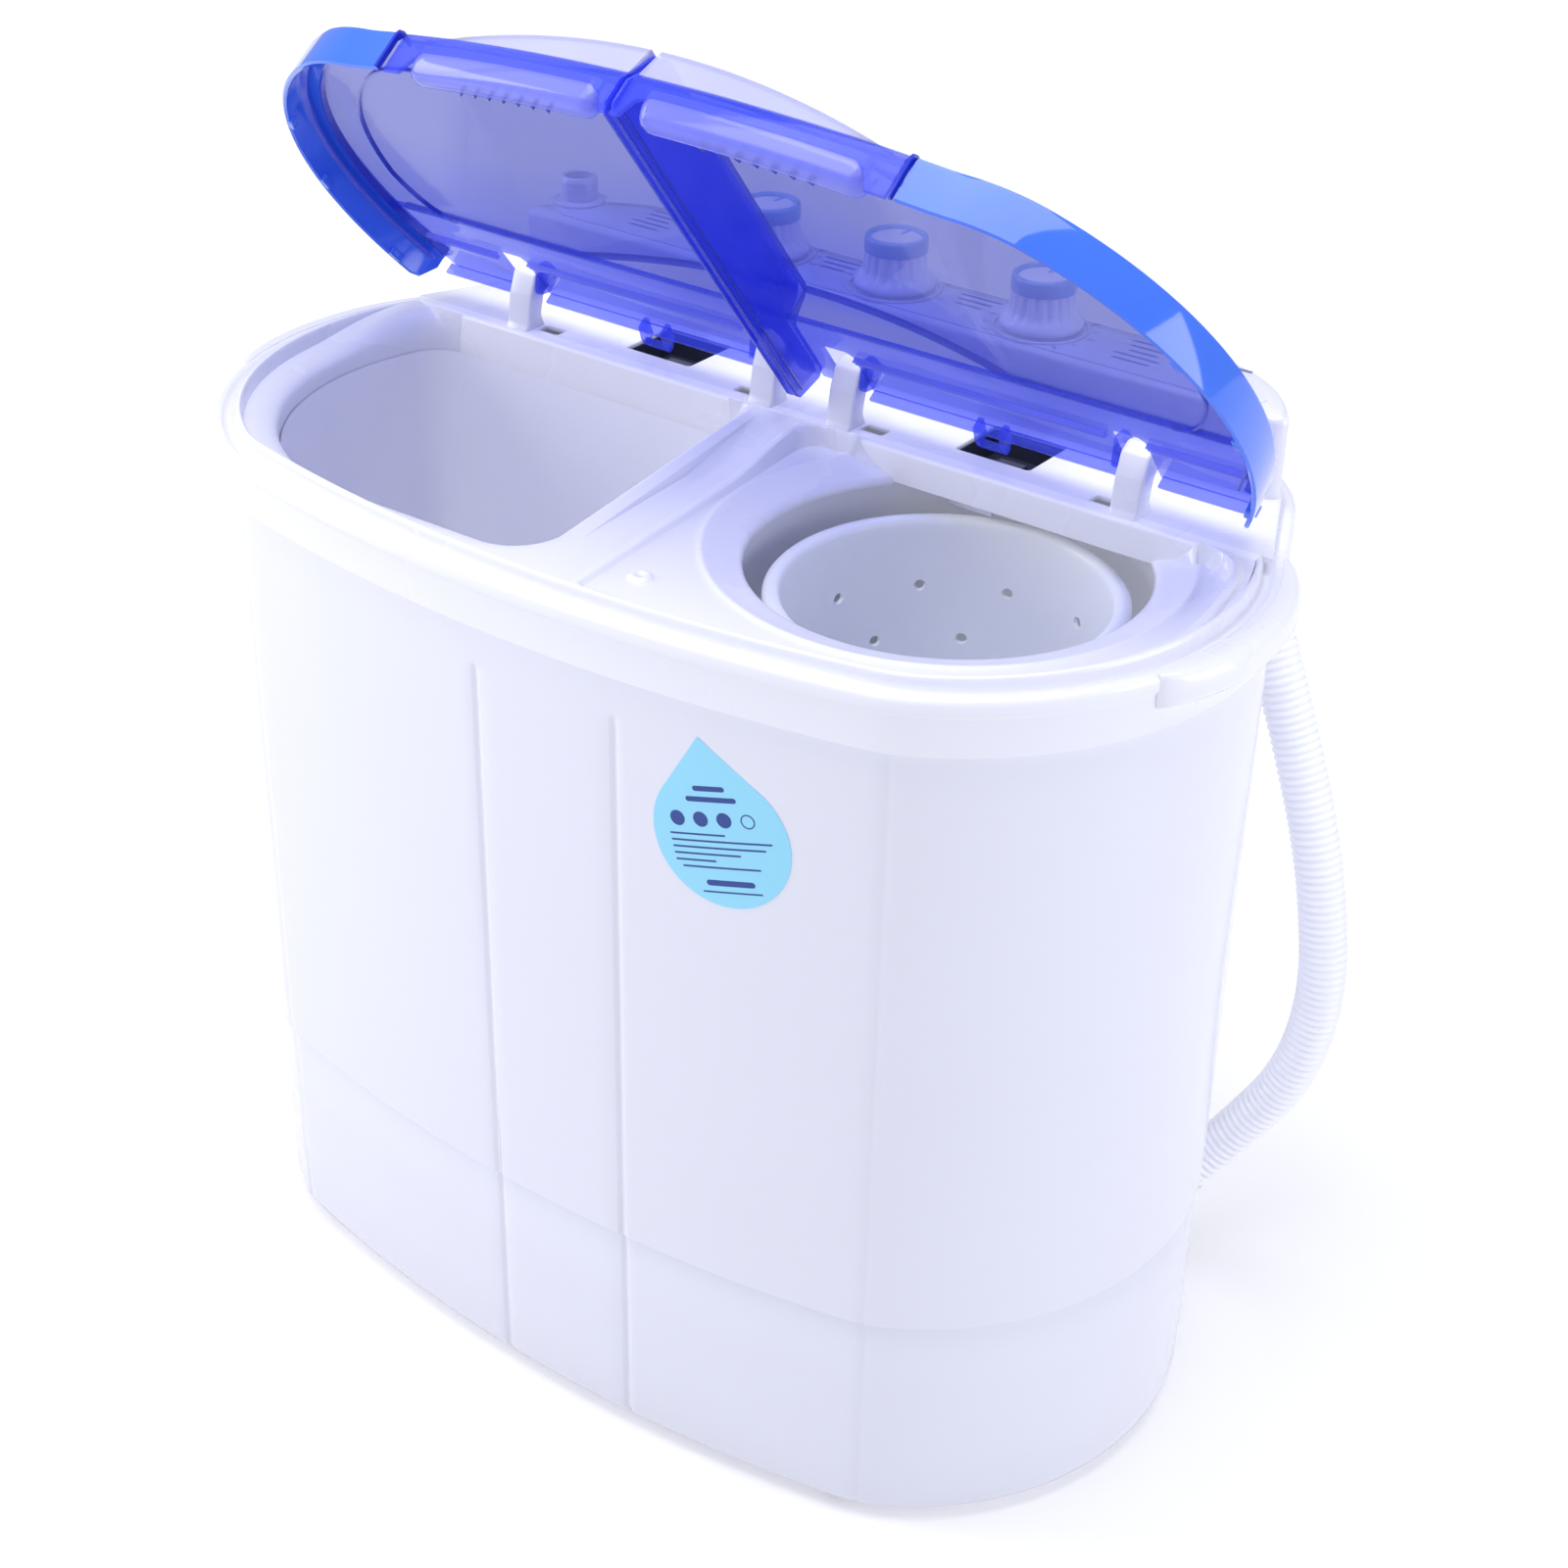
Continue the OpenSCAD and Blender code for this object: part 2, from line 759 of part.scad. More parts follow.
// Lids. They are drawn shut, then turned open about the hinge pins.
lid_in = 14;                        // how far the lid's edge stands inside the rim
lid_z0 = rear_z + 1.5;              // lower edge of the skirt
lid_z1 = lid_z0 + skirt_h;          // top of the skirt
lid_back = hinge_y + 9;             // rear edge of the lid's band
skirt_back = hinge_y + 1;           // where the end skirt stops
window_back = 27;                   // rear edge of the window
window_x = 256;                     // outer end of the window
half_gap = 3;                       // half of the gap between the two lids
arch_r = (arch_half * arch_half + arch_h * arch_h) / (2 * arch_h);
handle_x0 = 12;
handle_x1 = 132;

module lid_pose() {
    translate([0, hinge_y, hinge_z])
        rotate([-lid_open, 0, 0])
            translate([0, -hinge_y, -hinge_z])
                children();
}
// Plan of the right-hand lid, with its edges moved in by e; y1 is its rear edge.
module lid2d(e, y1) {
    intersection() {
        body2d(lid_in + e);
        right_of(half_gap + e);
        ahead(y1);
    }
}
// Everything below the lid's top: an arch in the middle and a flat at either end, lowered by drop.
module under_arch(drop) {
    translate([0, big, lid_z1 + arch_h - arch_r - drop])
        rotate([90, 0, 0])
            cylinder(r = arch_r, h = 2 * big, $fn = 720);
    translate([-big, -big, 0]) cube([2 * big, 2 * big, lid_z1 + 2 * lid_t - drop]);
}
module post_notches() {
    for (i = [2, 3])
        translate([post_x[i] - post_w / 2 - 1.5, 44, lid_z0 - 5])
            cube([post_w + 3, 60, skirt_h + arch_h + 40]);
}
module lid_ears() {
    for (i = [2, 3]) {
        x = post_x[i] + ear_side[i] * (post_w / 2 + gap + 2);
        translate([x - 2, hinge_y, hinge_z]) rotate([0, 90, 0]) {
            cylinder(r = 7, h = 4, $fn = 64);
            translate([0, 0, ear_side[i] > 0 ? -11 : 0]) cylinder(r = pin_r, h = 15, $fn = 64);
        }
        translate([x - 2, hinge_y - 8, lid_z1]) cube([4, 16, hinge_z - lid_z1]);
    }
}
module lid_lever() {
    for (dx = [-9, 6])
        translate([cut_x[1] + dx, lid_back - 1, lid_z1 - 8]) cube([3, 12, 8 + lid_t]);
    translate([cut_x[1] - 9, lid_back + 8, lid_z1 - 8]) cube([18, 3, 4]);
}
module lid_frame() {
    difference() {
        union() {
            slab(lid_z0, lid_z1) difference() {
                lid2d(0, skirt_back);
                lid2d(lid_t, skirt_back + 10);
            }
            slab(lid_z1, lid_z1 + lid_t) difference() {
                lid2d(0, lid_back);
                difference() {
                    lid2d(9, window_back - 2);
                    right_of(window_x - 2);
                }
            }
            // deep wall at the inner edge, up to the arch
            intersection() {
                translate([half_gap, -front_y, lid_z1]) cube([lid_t, front_y + window_back, arch_h + 2]);
                slab(lid_z1, lid_z1 + arch_h + 2) lid2d(0, window_back);
                under_arch(0);
            }
        }
        post_notches();
    }
    lid_ears();
    lid_lever();
}
module lid_window() {
    e = lid_t + 0.2;
    intersection() {
        difference() {
            slab(lid_z1 + lid_t, lid_z1 + arch_h + 2) difference() {
                lid2d(e, window_back);
                right_of(window_x);
            }
            intersection() {
                slab(lid_z1, lid_z1 + arch_h + 2) lid2d(e + 2, window_back - 2);
                under_arch(lid_t);
            }
        }
        under_arch(0);
    }
}
module lid_handle() {
    difference() {
        slab(lid_z0 + 2, lid_z1) intersection() {
            difference() {
                lid2d(lid_t + 0.1, skirt_back);
                lid2d(lid_t + 15, skirt_back);
            }
            translate([handle_x0, -big / 2]) square([handle_x1 - handle_x0, big / 2]);
        }
        slab(lid_z0, lid_z1 - lid_t) intersection() {
            difference() {
                lid2d(lid_t + 2.5, skirt_back);
                lid2d(lid_t + 12.5, skirt_back);
            }
            translate([handle_x0 + 3, -big / 2]) square([handle_x1 - handle_x0 - 6, big / 2]);
        }
    }
    // grip teeth along the inner face
    for (i = [0 : 6]) {
        x = 42 + i * 9;
        y = bow_c[1] - sqrt(pow(bow_r - lid_in - lid_t - 15, 2) - x * x);
        translate([x, y - 0.5, lid_z0 + 4]) cube([3, 3, 8]);
    }
}
module left_side() {
    mirror([1, 0, 0]) children();
}
module wash_lid_frame() { color(blue) lid_pose() left_side() lid_frame(); }
module wash_lid_window() { color(clear) lid_pose() left_side() lid_window(); }
module wash_lid_handle() { color(blue) lid_pose() left_side() lid_handle(); }
module spin_lid_frame() { color(blue) lid_pose() lid_frame(); }
module spin_lid_window() { color(clear) lid_pose() lid_window(); }
module spin_lid_handle() { color(blue) lid_pose() lid_handle(); }

// Drain hose: lies free from its outlet, out past the right end and up to its holder
hose_pts = [
    outlet_p, [238, 155, 74], [252, 163, 96], [266, 169, 121], [275, 172, 148], [279, 174, 176],
    [279, 175, 204], [275, 176, 232], [269, 177, 260], [261, 178, 288], [251, 179, 316],
    [240, 180, 344], [229, 180, 372], [218, 181, 398], [210, 182, 424], [206, 182, 448]
];
hose_end_d = [0, 0, 1];
module hose_holder() {
    p = hose_pts[len(hose_pts) - 1];
    color(white) {
        translate([p[0], p[1], 0]) rod(15, p[2], p[2] + 16);
        slab(p[2] + 4, p[2] + 16) difference() {
            translate([p[0] - 14, p[1] - 20]) square([12, 16]);
            body2d(cab_in);
        }
    }
}
function unit(v) = v / norm(v);
function hose_dir(i) =
    i == 0 ? unit(outlet_d) :
    i == len(hose_pts) - 1 ? hose_end_d :
    unit(hose_pts[i + 1] - hose_pts[i - 1]);
hose_n = 12;
module drain_hose() {
    rings = [for (i = [0 : len(hose_pts) - 1])
        let (d = hose_dir(i), s = unit(cross([0, 1, 0], d)), t = cross(d, s))
        [for (k = [0 : hose_n - 1])
            hose_pts[i] + hose_r * (cos(k * 360 / hose_n) * s + sin(k * 360 / hose_n) * t)]];
    last = len(rings) - 1;
    pts = [for (r = rings) for (p = r) p];
    sides = [for (i = [0 : last - 1]) for (k = [0 : hose_n - 1])
        [i * hose_n + k, i * hose_n + (k + 1) % hose_n,
         (i + 1) * hose_n + (k + 1) % hose_n, (i + 1) * hose_n + k]];
    color("#eef0f8") polyhedron(
        pts,
        concat([[for (k = [hose_n - 1 : -1 : 0]) k]], sides, [[for (k = [0 : hose_n - 1]) last * hose_n + k]])
    );
}

base_shell();
cabinet_shell();
top_deck();
hinge_posts();
wash_tub();
spin_tub();
console_housing();
console_fascia();
left_handle();
right_handle();
foot_1();
foot_2();
foot_3();
foot_4();
back_panel();
back_panel_screws();
droplet_label();
cord_gland();
water_inlet();
drain_outlet();
hose_holder();
drain_valve();
drain_manifold();
wash_bearing();
wash_motor();
drive_belt();
spin_motor();
spin_motor_mounts();
spin_bearing();
spin_bellows();
brake_pivot();
capacitor();
wash_timer();
drain_selector();
spin_timer();
wash_switch_box();
spin_switch_box();
gap_bracket();
deck_screw();
wash_lid_frame();
wash_lid_window();
wash_lid_handle();
spin_lid_frame();
spin_lid_window();
spin_lid_handle();
basket_shell();
basket_ring();
basket_shaft();
brake_drum();
pulsator();
pulsator_cap();
pulsator_shaft();
driven_pulley();
motor_pulley();
wash_knob();
selector_knob();
spin_knob();
drain_plunger();
brake_lever();
drain_hose();
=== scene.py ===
"""Twin tub washer: the visible pieces and their finishes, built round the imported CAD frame.

Lengths are in millimetres until a mesh is made, then metres. The frame is the CAD's:
+Z up, the front faces -Y, and the origin is on the floor under the middle.
"""
import math

import bmesh
import bpy
import numpy as np
from mathutils import Matrix, Vector
from mathutils.geometry import delaunay_2d_cdt


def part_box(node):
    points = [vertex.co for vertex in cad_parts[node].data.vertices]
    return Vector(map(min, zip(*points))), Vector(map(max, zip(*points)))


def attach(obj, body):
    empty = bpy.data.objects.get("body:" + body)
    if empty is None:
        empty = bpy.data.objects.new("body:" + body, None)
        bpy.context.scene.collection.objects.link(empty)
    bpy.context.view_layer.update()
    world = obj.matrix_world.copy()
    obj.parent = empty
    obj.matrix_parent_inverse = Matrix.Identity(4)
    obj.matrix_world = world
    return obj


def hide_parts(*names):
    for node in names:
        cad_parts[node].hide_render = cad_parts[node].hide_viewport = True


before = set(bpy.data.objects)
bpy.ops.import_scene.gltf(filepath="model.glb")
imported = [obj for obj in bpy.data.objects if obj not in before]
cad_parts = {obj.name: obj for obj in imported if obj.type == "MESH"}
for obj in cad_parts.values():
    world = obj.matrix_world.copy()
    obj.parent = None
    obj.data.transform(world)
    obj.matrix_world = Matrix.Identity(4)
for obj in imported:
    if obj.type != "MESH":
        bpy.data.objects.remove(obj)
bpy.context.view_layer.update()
scene = bpy.context.scene
MM = 0.001


def node_box(node):
    """Lowest and highest corner of a CAD node, in millimetres."""
    low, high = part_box(node)
    return low / MM, high / MM


# ---------------------------------------------------------------- sizes

DECK_LOW, DECK_HIGH = node_box("top_deck")
CABINET_LOW, CABINET_HIGH = node_box("cabinet_shell")
BASE_LOW, _ = node_box("base_shell")
HALF_W = DECK_HIGH.x
FRONT = -DECK_LOW.y
BACK = DECK_HIGH.y
SEAM_Z = CABINET_LOW.z
PLATE_Z = CABINET_HIGH.z
REAR_Z = DECK_HIGH.z
RIM_Z = REAR_Z - 5
FLOOR_Z = PLATE_Z + 3               # top of the deck plate
CONSOLE_Z = node_box("console_housing")[1].z - 1.6

BOW_R, END_R, CORNER_R = 873, 165, 95
BOW_C = Vector((0, BOW_R - FRONT))
END_C = Vector((HALF_W - END_R, -8))
CORNER_C = Vector((END_C.x + 35, BACK - CORNER_R))
CREASE = 10                         # half length of the blend between the bow and an end arc
CABINET_IN, BASE_IN, LID_IN = 5, 7, 14
WALL_Y = 50                         # front of the wall behind both openings
DECK_IN = 15.5                      # how far the deck's edge stands inside the rim
GROOVES = (-20, 64)
GROOVE_TOP = 444

WASH_R, WASH_RIGHT = 132, 26
LEAN = math.radians(5)              # lean of the wash opening's right wall and of the ridge beside it
LEAN_N = Vector((math.cos(LEAN), math.sin(LEAN)))
WASH_MID = -37
SPIN_C = Vector((139, -13))
RIDGE_AT, RIDGE_IN = Vector((15, -50)), 20

HINGE_Y, HINGE_Z = 69, 527
LID_OPEN = 51.5
LID_Z0 = REAR_Z + 1.5
LID_Z1 = LID_Z0 + 21
LID_T = 2.4
ARCH_H = 21
ARCH_HALF = 152
ARCH_R = (ARCH_HALF**2 + ARCH_H**2) / (2 * ARCH_H)
HALF_GAP = 1.5                      # half the gap between the lids
POSTS = (-194, -25, 25, 194)
POST_HALF = 8
SWITCHES = (-108, 108)
KNOBS = {"wash_knob": -88, "selector_knob": -4, "spin_knob": 88}
KNOB_Y = 144


# ---------------------------------------------------------------- camera

def make_camera():
    """The camera, at the height and side that show the front, both mouths and the open lids."""
    place = Vector((0.7473, -0.9723, 1.0382))
    down, turn, roll = math.radians(30.93), math.radians(36.22), math.radians(1.2)
    forward = Vector((-math.cos(down) * math.sin(turn), math.cos(down) * math.cos(turn), -math.sin(down)))
    side = forward.cross(Vector((0, 0, 1))).normalized()
    up = side.cross(forward)
    right = math.cos(roll) * side + math.sin(roll) * up
    up = right.cross(forward)
    data = bpy.data.cameras.new("camera")
    data.sensor_width = 36
    data.lens = 60.54
    camera = bpy.data.objects.new("camera", data)
    camera.matrix_world = Matrix((
        (right.x, up.x, -forward.x, place.x),
        (right.y, up.y, -forward.y, place.y),
        (right.z, up.z, -forward.z, place.z),
        (0, 0, 0, 1),
    ))
    scene.collection.objects.link(camera)
    scene.camera = camera


make_camera()


# ---------------------------------------------------------------- materials

class Finish:
    """A material that is built node by node."""

    def __init__(self, name):
        self.material = bpy.data.materials.new(name)
        self.material.use_nodes = True
        self.nodes, self.links = self.material.node_tree.nodes, self.material.node_tree.links
        self.nodes.clear()

    def node(self, kind, **values):
        """A new node, its inputs set by name, or linked where a value is an output."""
        node = self.nodes.new("ShaderNode" + kind)
        for key, value in values.items():
            socket = node.inputs[key.replace("_", " ")]
            if isinstance(value, bpy.types.NodeSocket):
                self.links.new(value, socket)
            else:
                socket.default_value = value
        return node

    def noise(self, scale, detail=3.0, stretch=(1, 1, 1)):
        """Noise in object coordinates, in features per metre."""
        where = self.node("TexCoord").outputs["Object"]
        mapping = self.node("Mapping", Vector=where, Scale=stretch)
        return self.node("TexNoise", Vector=mapping.outputs["Vector"], Scale=scale,
                         Detail=detail).outputs["Fac"]

    def ramp(self, fac, low, high, start=0.0, end=1.0):
        """A value or colour that goes from low to high as fac goes from start to end."""
        if isinstance(low, float):
            node = self.node("MapRange", Value=fac, From_Min=start, From_Max=end, To_Min=low, To_Max=high)
            return node.outputs["Result"]
        node = self.node("ValToRGB", Fac=fac)
        for stop, position, colour in zip(node.color_ramp.elements, (start, end), (low, high)):
            stop.position = position
            stop.color = (*colour, 1)
        return node.outputs["Color"]

    def plastic(self, broad, fine, low, high, dull, duller, span, depth, height, **values):
        """A surface whose colour and gloss follow the broad noise, with the fine noise as its grain."""
        bump = self.node("Bump", Strength=depth, Distance=height, Height=fine)
        return self.node("BsdfPrincipled", Base_Color=self.ramp(broad, low, high, *span),
                         Roughness=self.ramp(broad, dull, duller, *span), Normal=bump.outputs["Normal"],
                         **values).outputs["BSDF"]

    def done(self, shader):
        self.links.new(shader, self.node("OutputMaterial").inputs["Surface"])
        return self.material


def moulded(name, colour, roughness, coat=0.0, metallic=0.0, mottle=0.03, grain=700.0, depth=0.03,
            stretch=(1, 1, 1)):
    """A moulded, cast or drawn surface: its colour and gloss vary a little, over a fine grain."""
    finish = Finish(name)
    low, high = (tuple(min(1.0, c * share) for c in colour) for share in (1 - mottle, 1 + mottle))
    return finish.done(finish.plastic(
        finish.noise(9.0, stretch=stretch), finish.noise(grain, 2.0, stretch), low, high,
        roughness * 0.8, roughness * 1.2, (0.0, 1.0), depth, 0.0004,
        Metallic=metallic, Coat_Weight=coat, Coat_Roughness=0.08))


def see_through(name, body, tint, solid, roughness=0.08, deep=None, coat=0.6, rear_tint=None):
    """Thin tinted plastic: part of the light passes through tinted, and the rest meets a glossy solid.
    With rear_tint the tint deepens from the piece's front to its back."""
    finish = Finish(name)
    low = deep or tuple(c * 0.85 for c in body)
    gloss = finish.plastic(finish.noise(7.0), finish.noise(160.0, 2.0), low, body, roughness * 0.8,
                           roughness * 1.4, (0.3, 0.7), 0.02, 0.0006, Coat_Weight=coat, Coat_Roughness=0.04)
    colour = (*tint, 1)
    if rear_tint:
        split = finish.node("SeparateXYZ", Vector=finish.node("TexCoord").outputs["Generated"])
        colour = finish.ramp(split.outputs["Y"], tint, rear_tint, 0.5, 1.0)
    clear = finish.node("BsdfTransparent", Color=colour).outputs["BSDF"]
    facing = finish.node("LayerWeight", Blend=0.25).outputs["Facing"]
    mix = finish.node("MixShader", Fac=finish.ramp(facing, solid, min(1.0, solid + 0.35)))
    finish.links.new(clear, mix.inputs[1])
    finish.links.new(gloss, mix.inputs[2])
    return finish.done(mix.outputs["Shader"])


WHITE = moulded("white_plastic", (0.755, 0.765, 0.86), 0.24, coat=0.35, mottle=0.012)
DECK_WHITE = moulded("deck_plastic", (0.82, 0.83, 0.91), 0.28, coat=0.3, mottle=0.012)
# The rear walls' white is a lighter copy of the deck's white: painted light against the lids' shadow on them.
REAR_LIT_WHITE = moulded("rear_plastic_painted_light", (0.93, 0.935, 0.97), 0.28, coat=0.3, mottle=0.012)
TUB = moulded("tub_plastic", (0.90, 0.91, 0.97), 0.42, coat=0.1, mottle=0.03, depth=0.05)
BASKET = moulded("basket_plastic", (0.93, 0.955, 1.0), 0.36, coat=0.15, mottle=0.02, depth=0.04)
BLUE = see_through("blue_clear", (0.14, 0.20, 1.0), (0.62, 0.65, 0.99), 0.24, deep=(0.08, 0.13, 0.92))
BLUE_SKIRT = see_through("blue_skirt", (0.07, 0.23, 0.95), (0.10, 0.18, 0.92), 0.78, deep=(0.05, 0.18, 0.88))
BLUE_WALL = see_through("blue_wall", (0.12, 0.17, 1.0), (0.50, 0.53, 0.98), 0.34, deep=(0.06, 0.10, 0.9))
# The ribs' blue is lighter than the lid's clear blue: painted glints over the ribs' own blue.
RIB_GLINT = see_through("blue_rib_painted_glint", (0.35, 0.40, 0.95), (0.45, 0.5, 0.98), 0.35)
BLUE_EDGE = moulded("blue_edge", (0.012, 0.03, 0.5), 0.2, coat=0.6, mottle=0.1)
WINDOW = see_through("window_clear", (0.31, 0.335, 0.78), (0.56, 0.58, 0.82), 0.12, deep=(0.28, 0.30, 0.72),
                     rear_tint=(0.42, 0.46, 0.88))
# The dome's front wall is a pale copy of the window's clear plastic: its own tint plus a painted sheen.
WINDOW_FRONT_SHEEN = see_through("window_front_painted_sheen", (0.80, 0.81, 0.95), (0.93, 0.935, 0.99), 0.30)
# The grip is a lighter copy of the lid's clear blue: its own blue plus a painted highlight along the bar.
GRIP_HIGHLIGHT = see_through("blue_grip_painted_highlight", (0.36, 0.40, 1.0), (0.72, 0.74, 0.99), 0.36, coat=0.9)
KNOB_WHITE = moulded("knob_plastic", (0.95, 0.96, 1.0), 0.30, coat=0.25, mottle=0.02)
KNOB_CAP = moulded("knob_cap", (0.33, 0.50, 0.80), 0.32, coat=0.3, mottle=0.04)
KNOB_TOP = moulded("knob_top", (0.86, 0.88, 0.95), 0.35, coat=0.2, mottle=0.03)
PANEL = moulded("panel_film", (0.70, 0.72, 0.88), 0.35, coat=0.2, mottle=0.03)
PANEL_INK = moulded("panel_ink", (0.12, 0.15, 0.45), 0.45, mottle=0.1)
LABEL = moulded("label_film", (0.27, 0.68, 0.90), 0.32, coat=0.4, mottle=0.03, depth=0.01)
LABEL_INK = moulded("label_ink", (0.012, 0.05, 0.27), 0.4, mottle=0.1, depth=0.01)
HOSE = moulded("hose_plastic", (0.88, 0.89, 0.95), 0.40, coat=0.1, mottle=0.02)
RUBBER = moulded("rubber", (0.03, 0.03, 0.034), 0.75, mottle=0.2, depth=0.15, grain=350.0)
STEEL = moulded("steel", (0.55, 0.56, 0.58), 0.32, metallic=1.0, mottle=0.06, stretch=(1, 1, 12), depth=0.08)
ALUMINIUM = moulded("aluminium", (0.72, 0.73, 0.75), 0.36, metallic=1.0, mottle=0.05, depth=0.08)
TIMER = moulded("timer_plastic", (0.60, 0.55, 0.38), 0.55, mottle=0.08, depth=0.1)
# Near black, used as painted shade: the switch boxes seen down the switch slots and the sheet behind the
# louvres.
SHADE_DARK = moulded("dark_plastic", (0.02, 0.024, 0.05), 0.38, coat=0.2, mottle=0.2, depth=0.1)
MANIFOLD = moulded("drain_plastic", (0.66, 0.68, 0.74), 0.5, mottle=0.06, depth=0.08)


# ---------------------------------------------------------------- mesh tools

class Shape:
    """Points and faces, in millimetres."""

    def __init__(self, points=(), faces=()):
        self.points, self.faces = [], []
        self.add(points, faces)

    def add(self, points, faces):
        start = len(self.points)
        self.points += [tuple(p) for p in points]
        self.faces += [tuple(start + i for i in face) for face in faces]
        return self

    def join(self, other):
        return self.add(other.points, other.faces)

    def cap(self, loops, z):
        """Adds a level face at z: the first loop less the others."""
        flat, faces = fill(loops)
        return self.add([upright(p, z) for p in flat], faces)

    def turned(self, matrix):
        return Shape([matrix @ Vector(p) for p in self.points], self.faces)


def loft(rings, ring_closed=True, sweep_closed=False, caps=False):
    """Faces between rings with the same number of points."""
    n, points, faces = len(rings[0]), [p for ring in rings for p in ring], []
    for j in range(len(rings) if sweep_closed else len(rings) - 1):
        a, b = j * n, (j + 1) % len(rings) * n
        for i in range(n if ring_closed else n - 1):
            k = (i + 1) % n
            faces.append((a + i, a + k, b + k, b + i))
    if caps:
        faces.append(tuple(range(n - 1, -1, -1)))
        faces.append(tuple(range(len(points) - n, len(points))))
    return Shape(points, faces)


def on_arc(centre, radius, turn):
    """The point of an arc at an angle in degrees."""
    a = math.radians(turn)
    return Vector((centre[0] + radius * math.cos(a), centre[1] + radius * math.sin(a)))


def arc(centre, radius, start, end, count):
    """Points on an arc, angles in degrees."""
    return [on_arc(centre, radius, start + (end - start) * i / count) for i in range(count + 1)]


def circle(centre, radius, count):
    return arc(centre, radius, 0, 360, count)[:-1]


def mirrored(points):
    return [Vector((-p.x, p.y)) for p in points]


def lathe(section, centre=(0, 0), closed=False, count=96):
    """Turns (radius, z) points about an upright axis."""
    rings = []
    for radius, z in section:
        rings.append([upright(p, z) for p in circle(centre, radius, count)])
    return loft(rings, sweep_closed=closed)


def raised(section, z):
    """A section of (distance, rise) points, with its rises measured from z."""
    return [(away, z + rise) for away, rise in section]


def rounded(corners, count=5):
    """A closed outline from (x, y, radius) corners."""
    points = []
    for i, (x, y, radius) in enumerate(corners):
        here = Vector((x, y))
        before = (Vector(corners[i - 1][:2]) - here).normalized()
        after = (Vector(corners[(i + 1) % len(corners)][:2]) - here).normalized()
        if radius <= 0:
            points.append(here)
            continue
        half = before.angle(after) / 2
        reach = radius / math.tan(half)
        a, b = here + before * reach, here + after * reach
        for k in range(count + 1):
            centre = here + (before + after).normalized() * (radius / math.sin(half))
            points.append(centre + (a.lerp(b, k / count) - centre).normalized() * radius)
    return points


def upright(p, t):
    """Puts a point of a plan at the height t."""
    return (p[0], p[1], t)


def prism(outline, low, high, place=lambda p, t: (t, p[0], p[1])):
    """A closed outline drawn out from low to high; place puts an outline point at a depth in space."""
    return loft([[place(p, low) for p in outline], [place(p, high) for p in outline]], caps=True)


def box_shape(low, high):
    x0, y0, z0 = low
    x1, y1, z1 = high
    return prism([(y0, z0), (y1, z0), (y1, z1), (y0, z1)], x0, x1)


def inside(points, loop):
    """Which points lie inside a closed outline."""
    points, loop = np.asarray(points, float), np.asarray([tuple(p) for p in loop], float)
    x, y = points[:, 0:1], points[:, 1:2]
    ax, ay = loop[:, 0], loop[:, 1]
    bx, by = np.roll(ax, -1), np.roll(ay, -1)
    step = np.where(by == ay, 1e-12, by - ay)
    crosses = ((ay > y) != (by > y)) & (x < (bx - ax) * (y - ay) / step + ax)
    return crosses.sum(1) % 2 == 1


def distance(points, loop):
    """Distance from points to a closed outline."""
    points, a = np.asarray(points, float), np.asarray([tuple(p) for p in loop], float)
    d = np.roll(a, -1, 0) - a
    t = ((points[:, None] - a) * d).sum(2) / np.maximum((d * d).sum(1), 1e-12)
    near = a + np.clip(t, 0, 1)[..., None] * d
    return np.sqrt(((points[:, None] - near) ** 2).sum(2)).min(1)


def grid_in(loop, across, up, margin):
    """The points of a grid that stand inside an outline by more than the margin."""
    grid = np.array([(x, y) for x in across for y in up])
    return [tuple(p) for p in grid[inside(grid, loop) & (distance(grid, loop) > margin)]]


def fill(loops, extra=(), lines=()):
    """Triangles over the first loop less the others: (2-D points, faces)."""
    points, edges = [], []
    for loop, closed in [(loop, True) for loop in loops] + [(line, False) for line in lines]:
        start, n = len(points), len(loop)
        points += [Vector(tuple(p)[:2]) for p in loop]
        edges += [(start + i, start + (i + 1) % n) for i in range(n if closed else n - 1)]
    points += [Vector(tuple(p)[:2]) for p in extra]
    points, _, faces, _, _, _ = delaunay_2d_cdt(points, edges, [], 0, 1e-4)
    middles = [sum((points[i] for i in face), Vector((0, 0))) / len(face) for face in faces]
    keep = inside(middles, loops[0])
    for loop in loops[1:]:
        keep &= ~inside(middles, loop)
    return points, [face for face, kept in zip(faces, keep) if kept]


def plate(loops, low, high):
    """A flat plate with holes, between two levels."""
    points, faces = fill(loops)
    shape = Shape([upright(p, low) for p in points], [face[::-1] for face in faces])
    shape.add([upright(p, high) for p in points], faces)
    for loop in loops:
        shape.join(loft([[upright(p, level) for p in loop] for level in (low, high)]))
    return shape


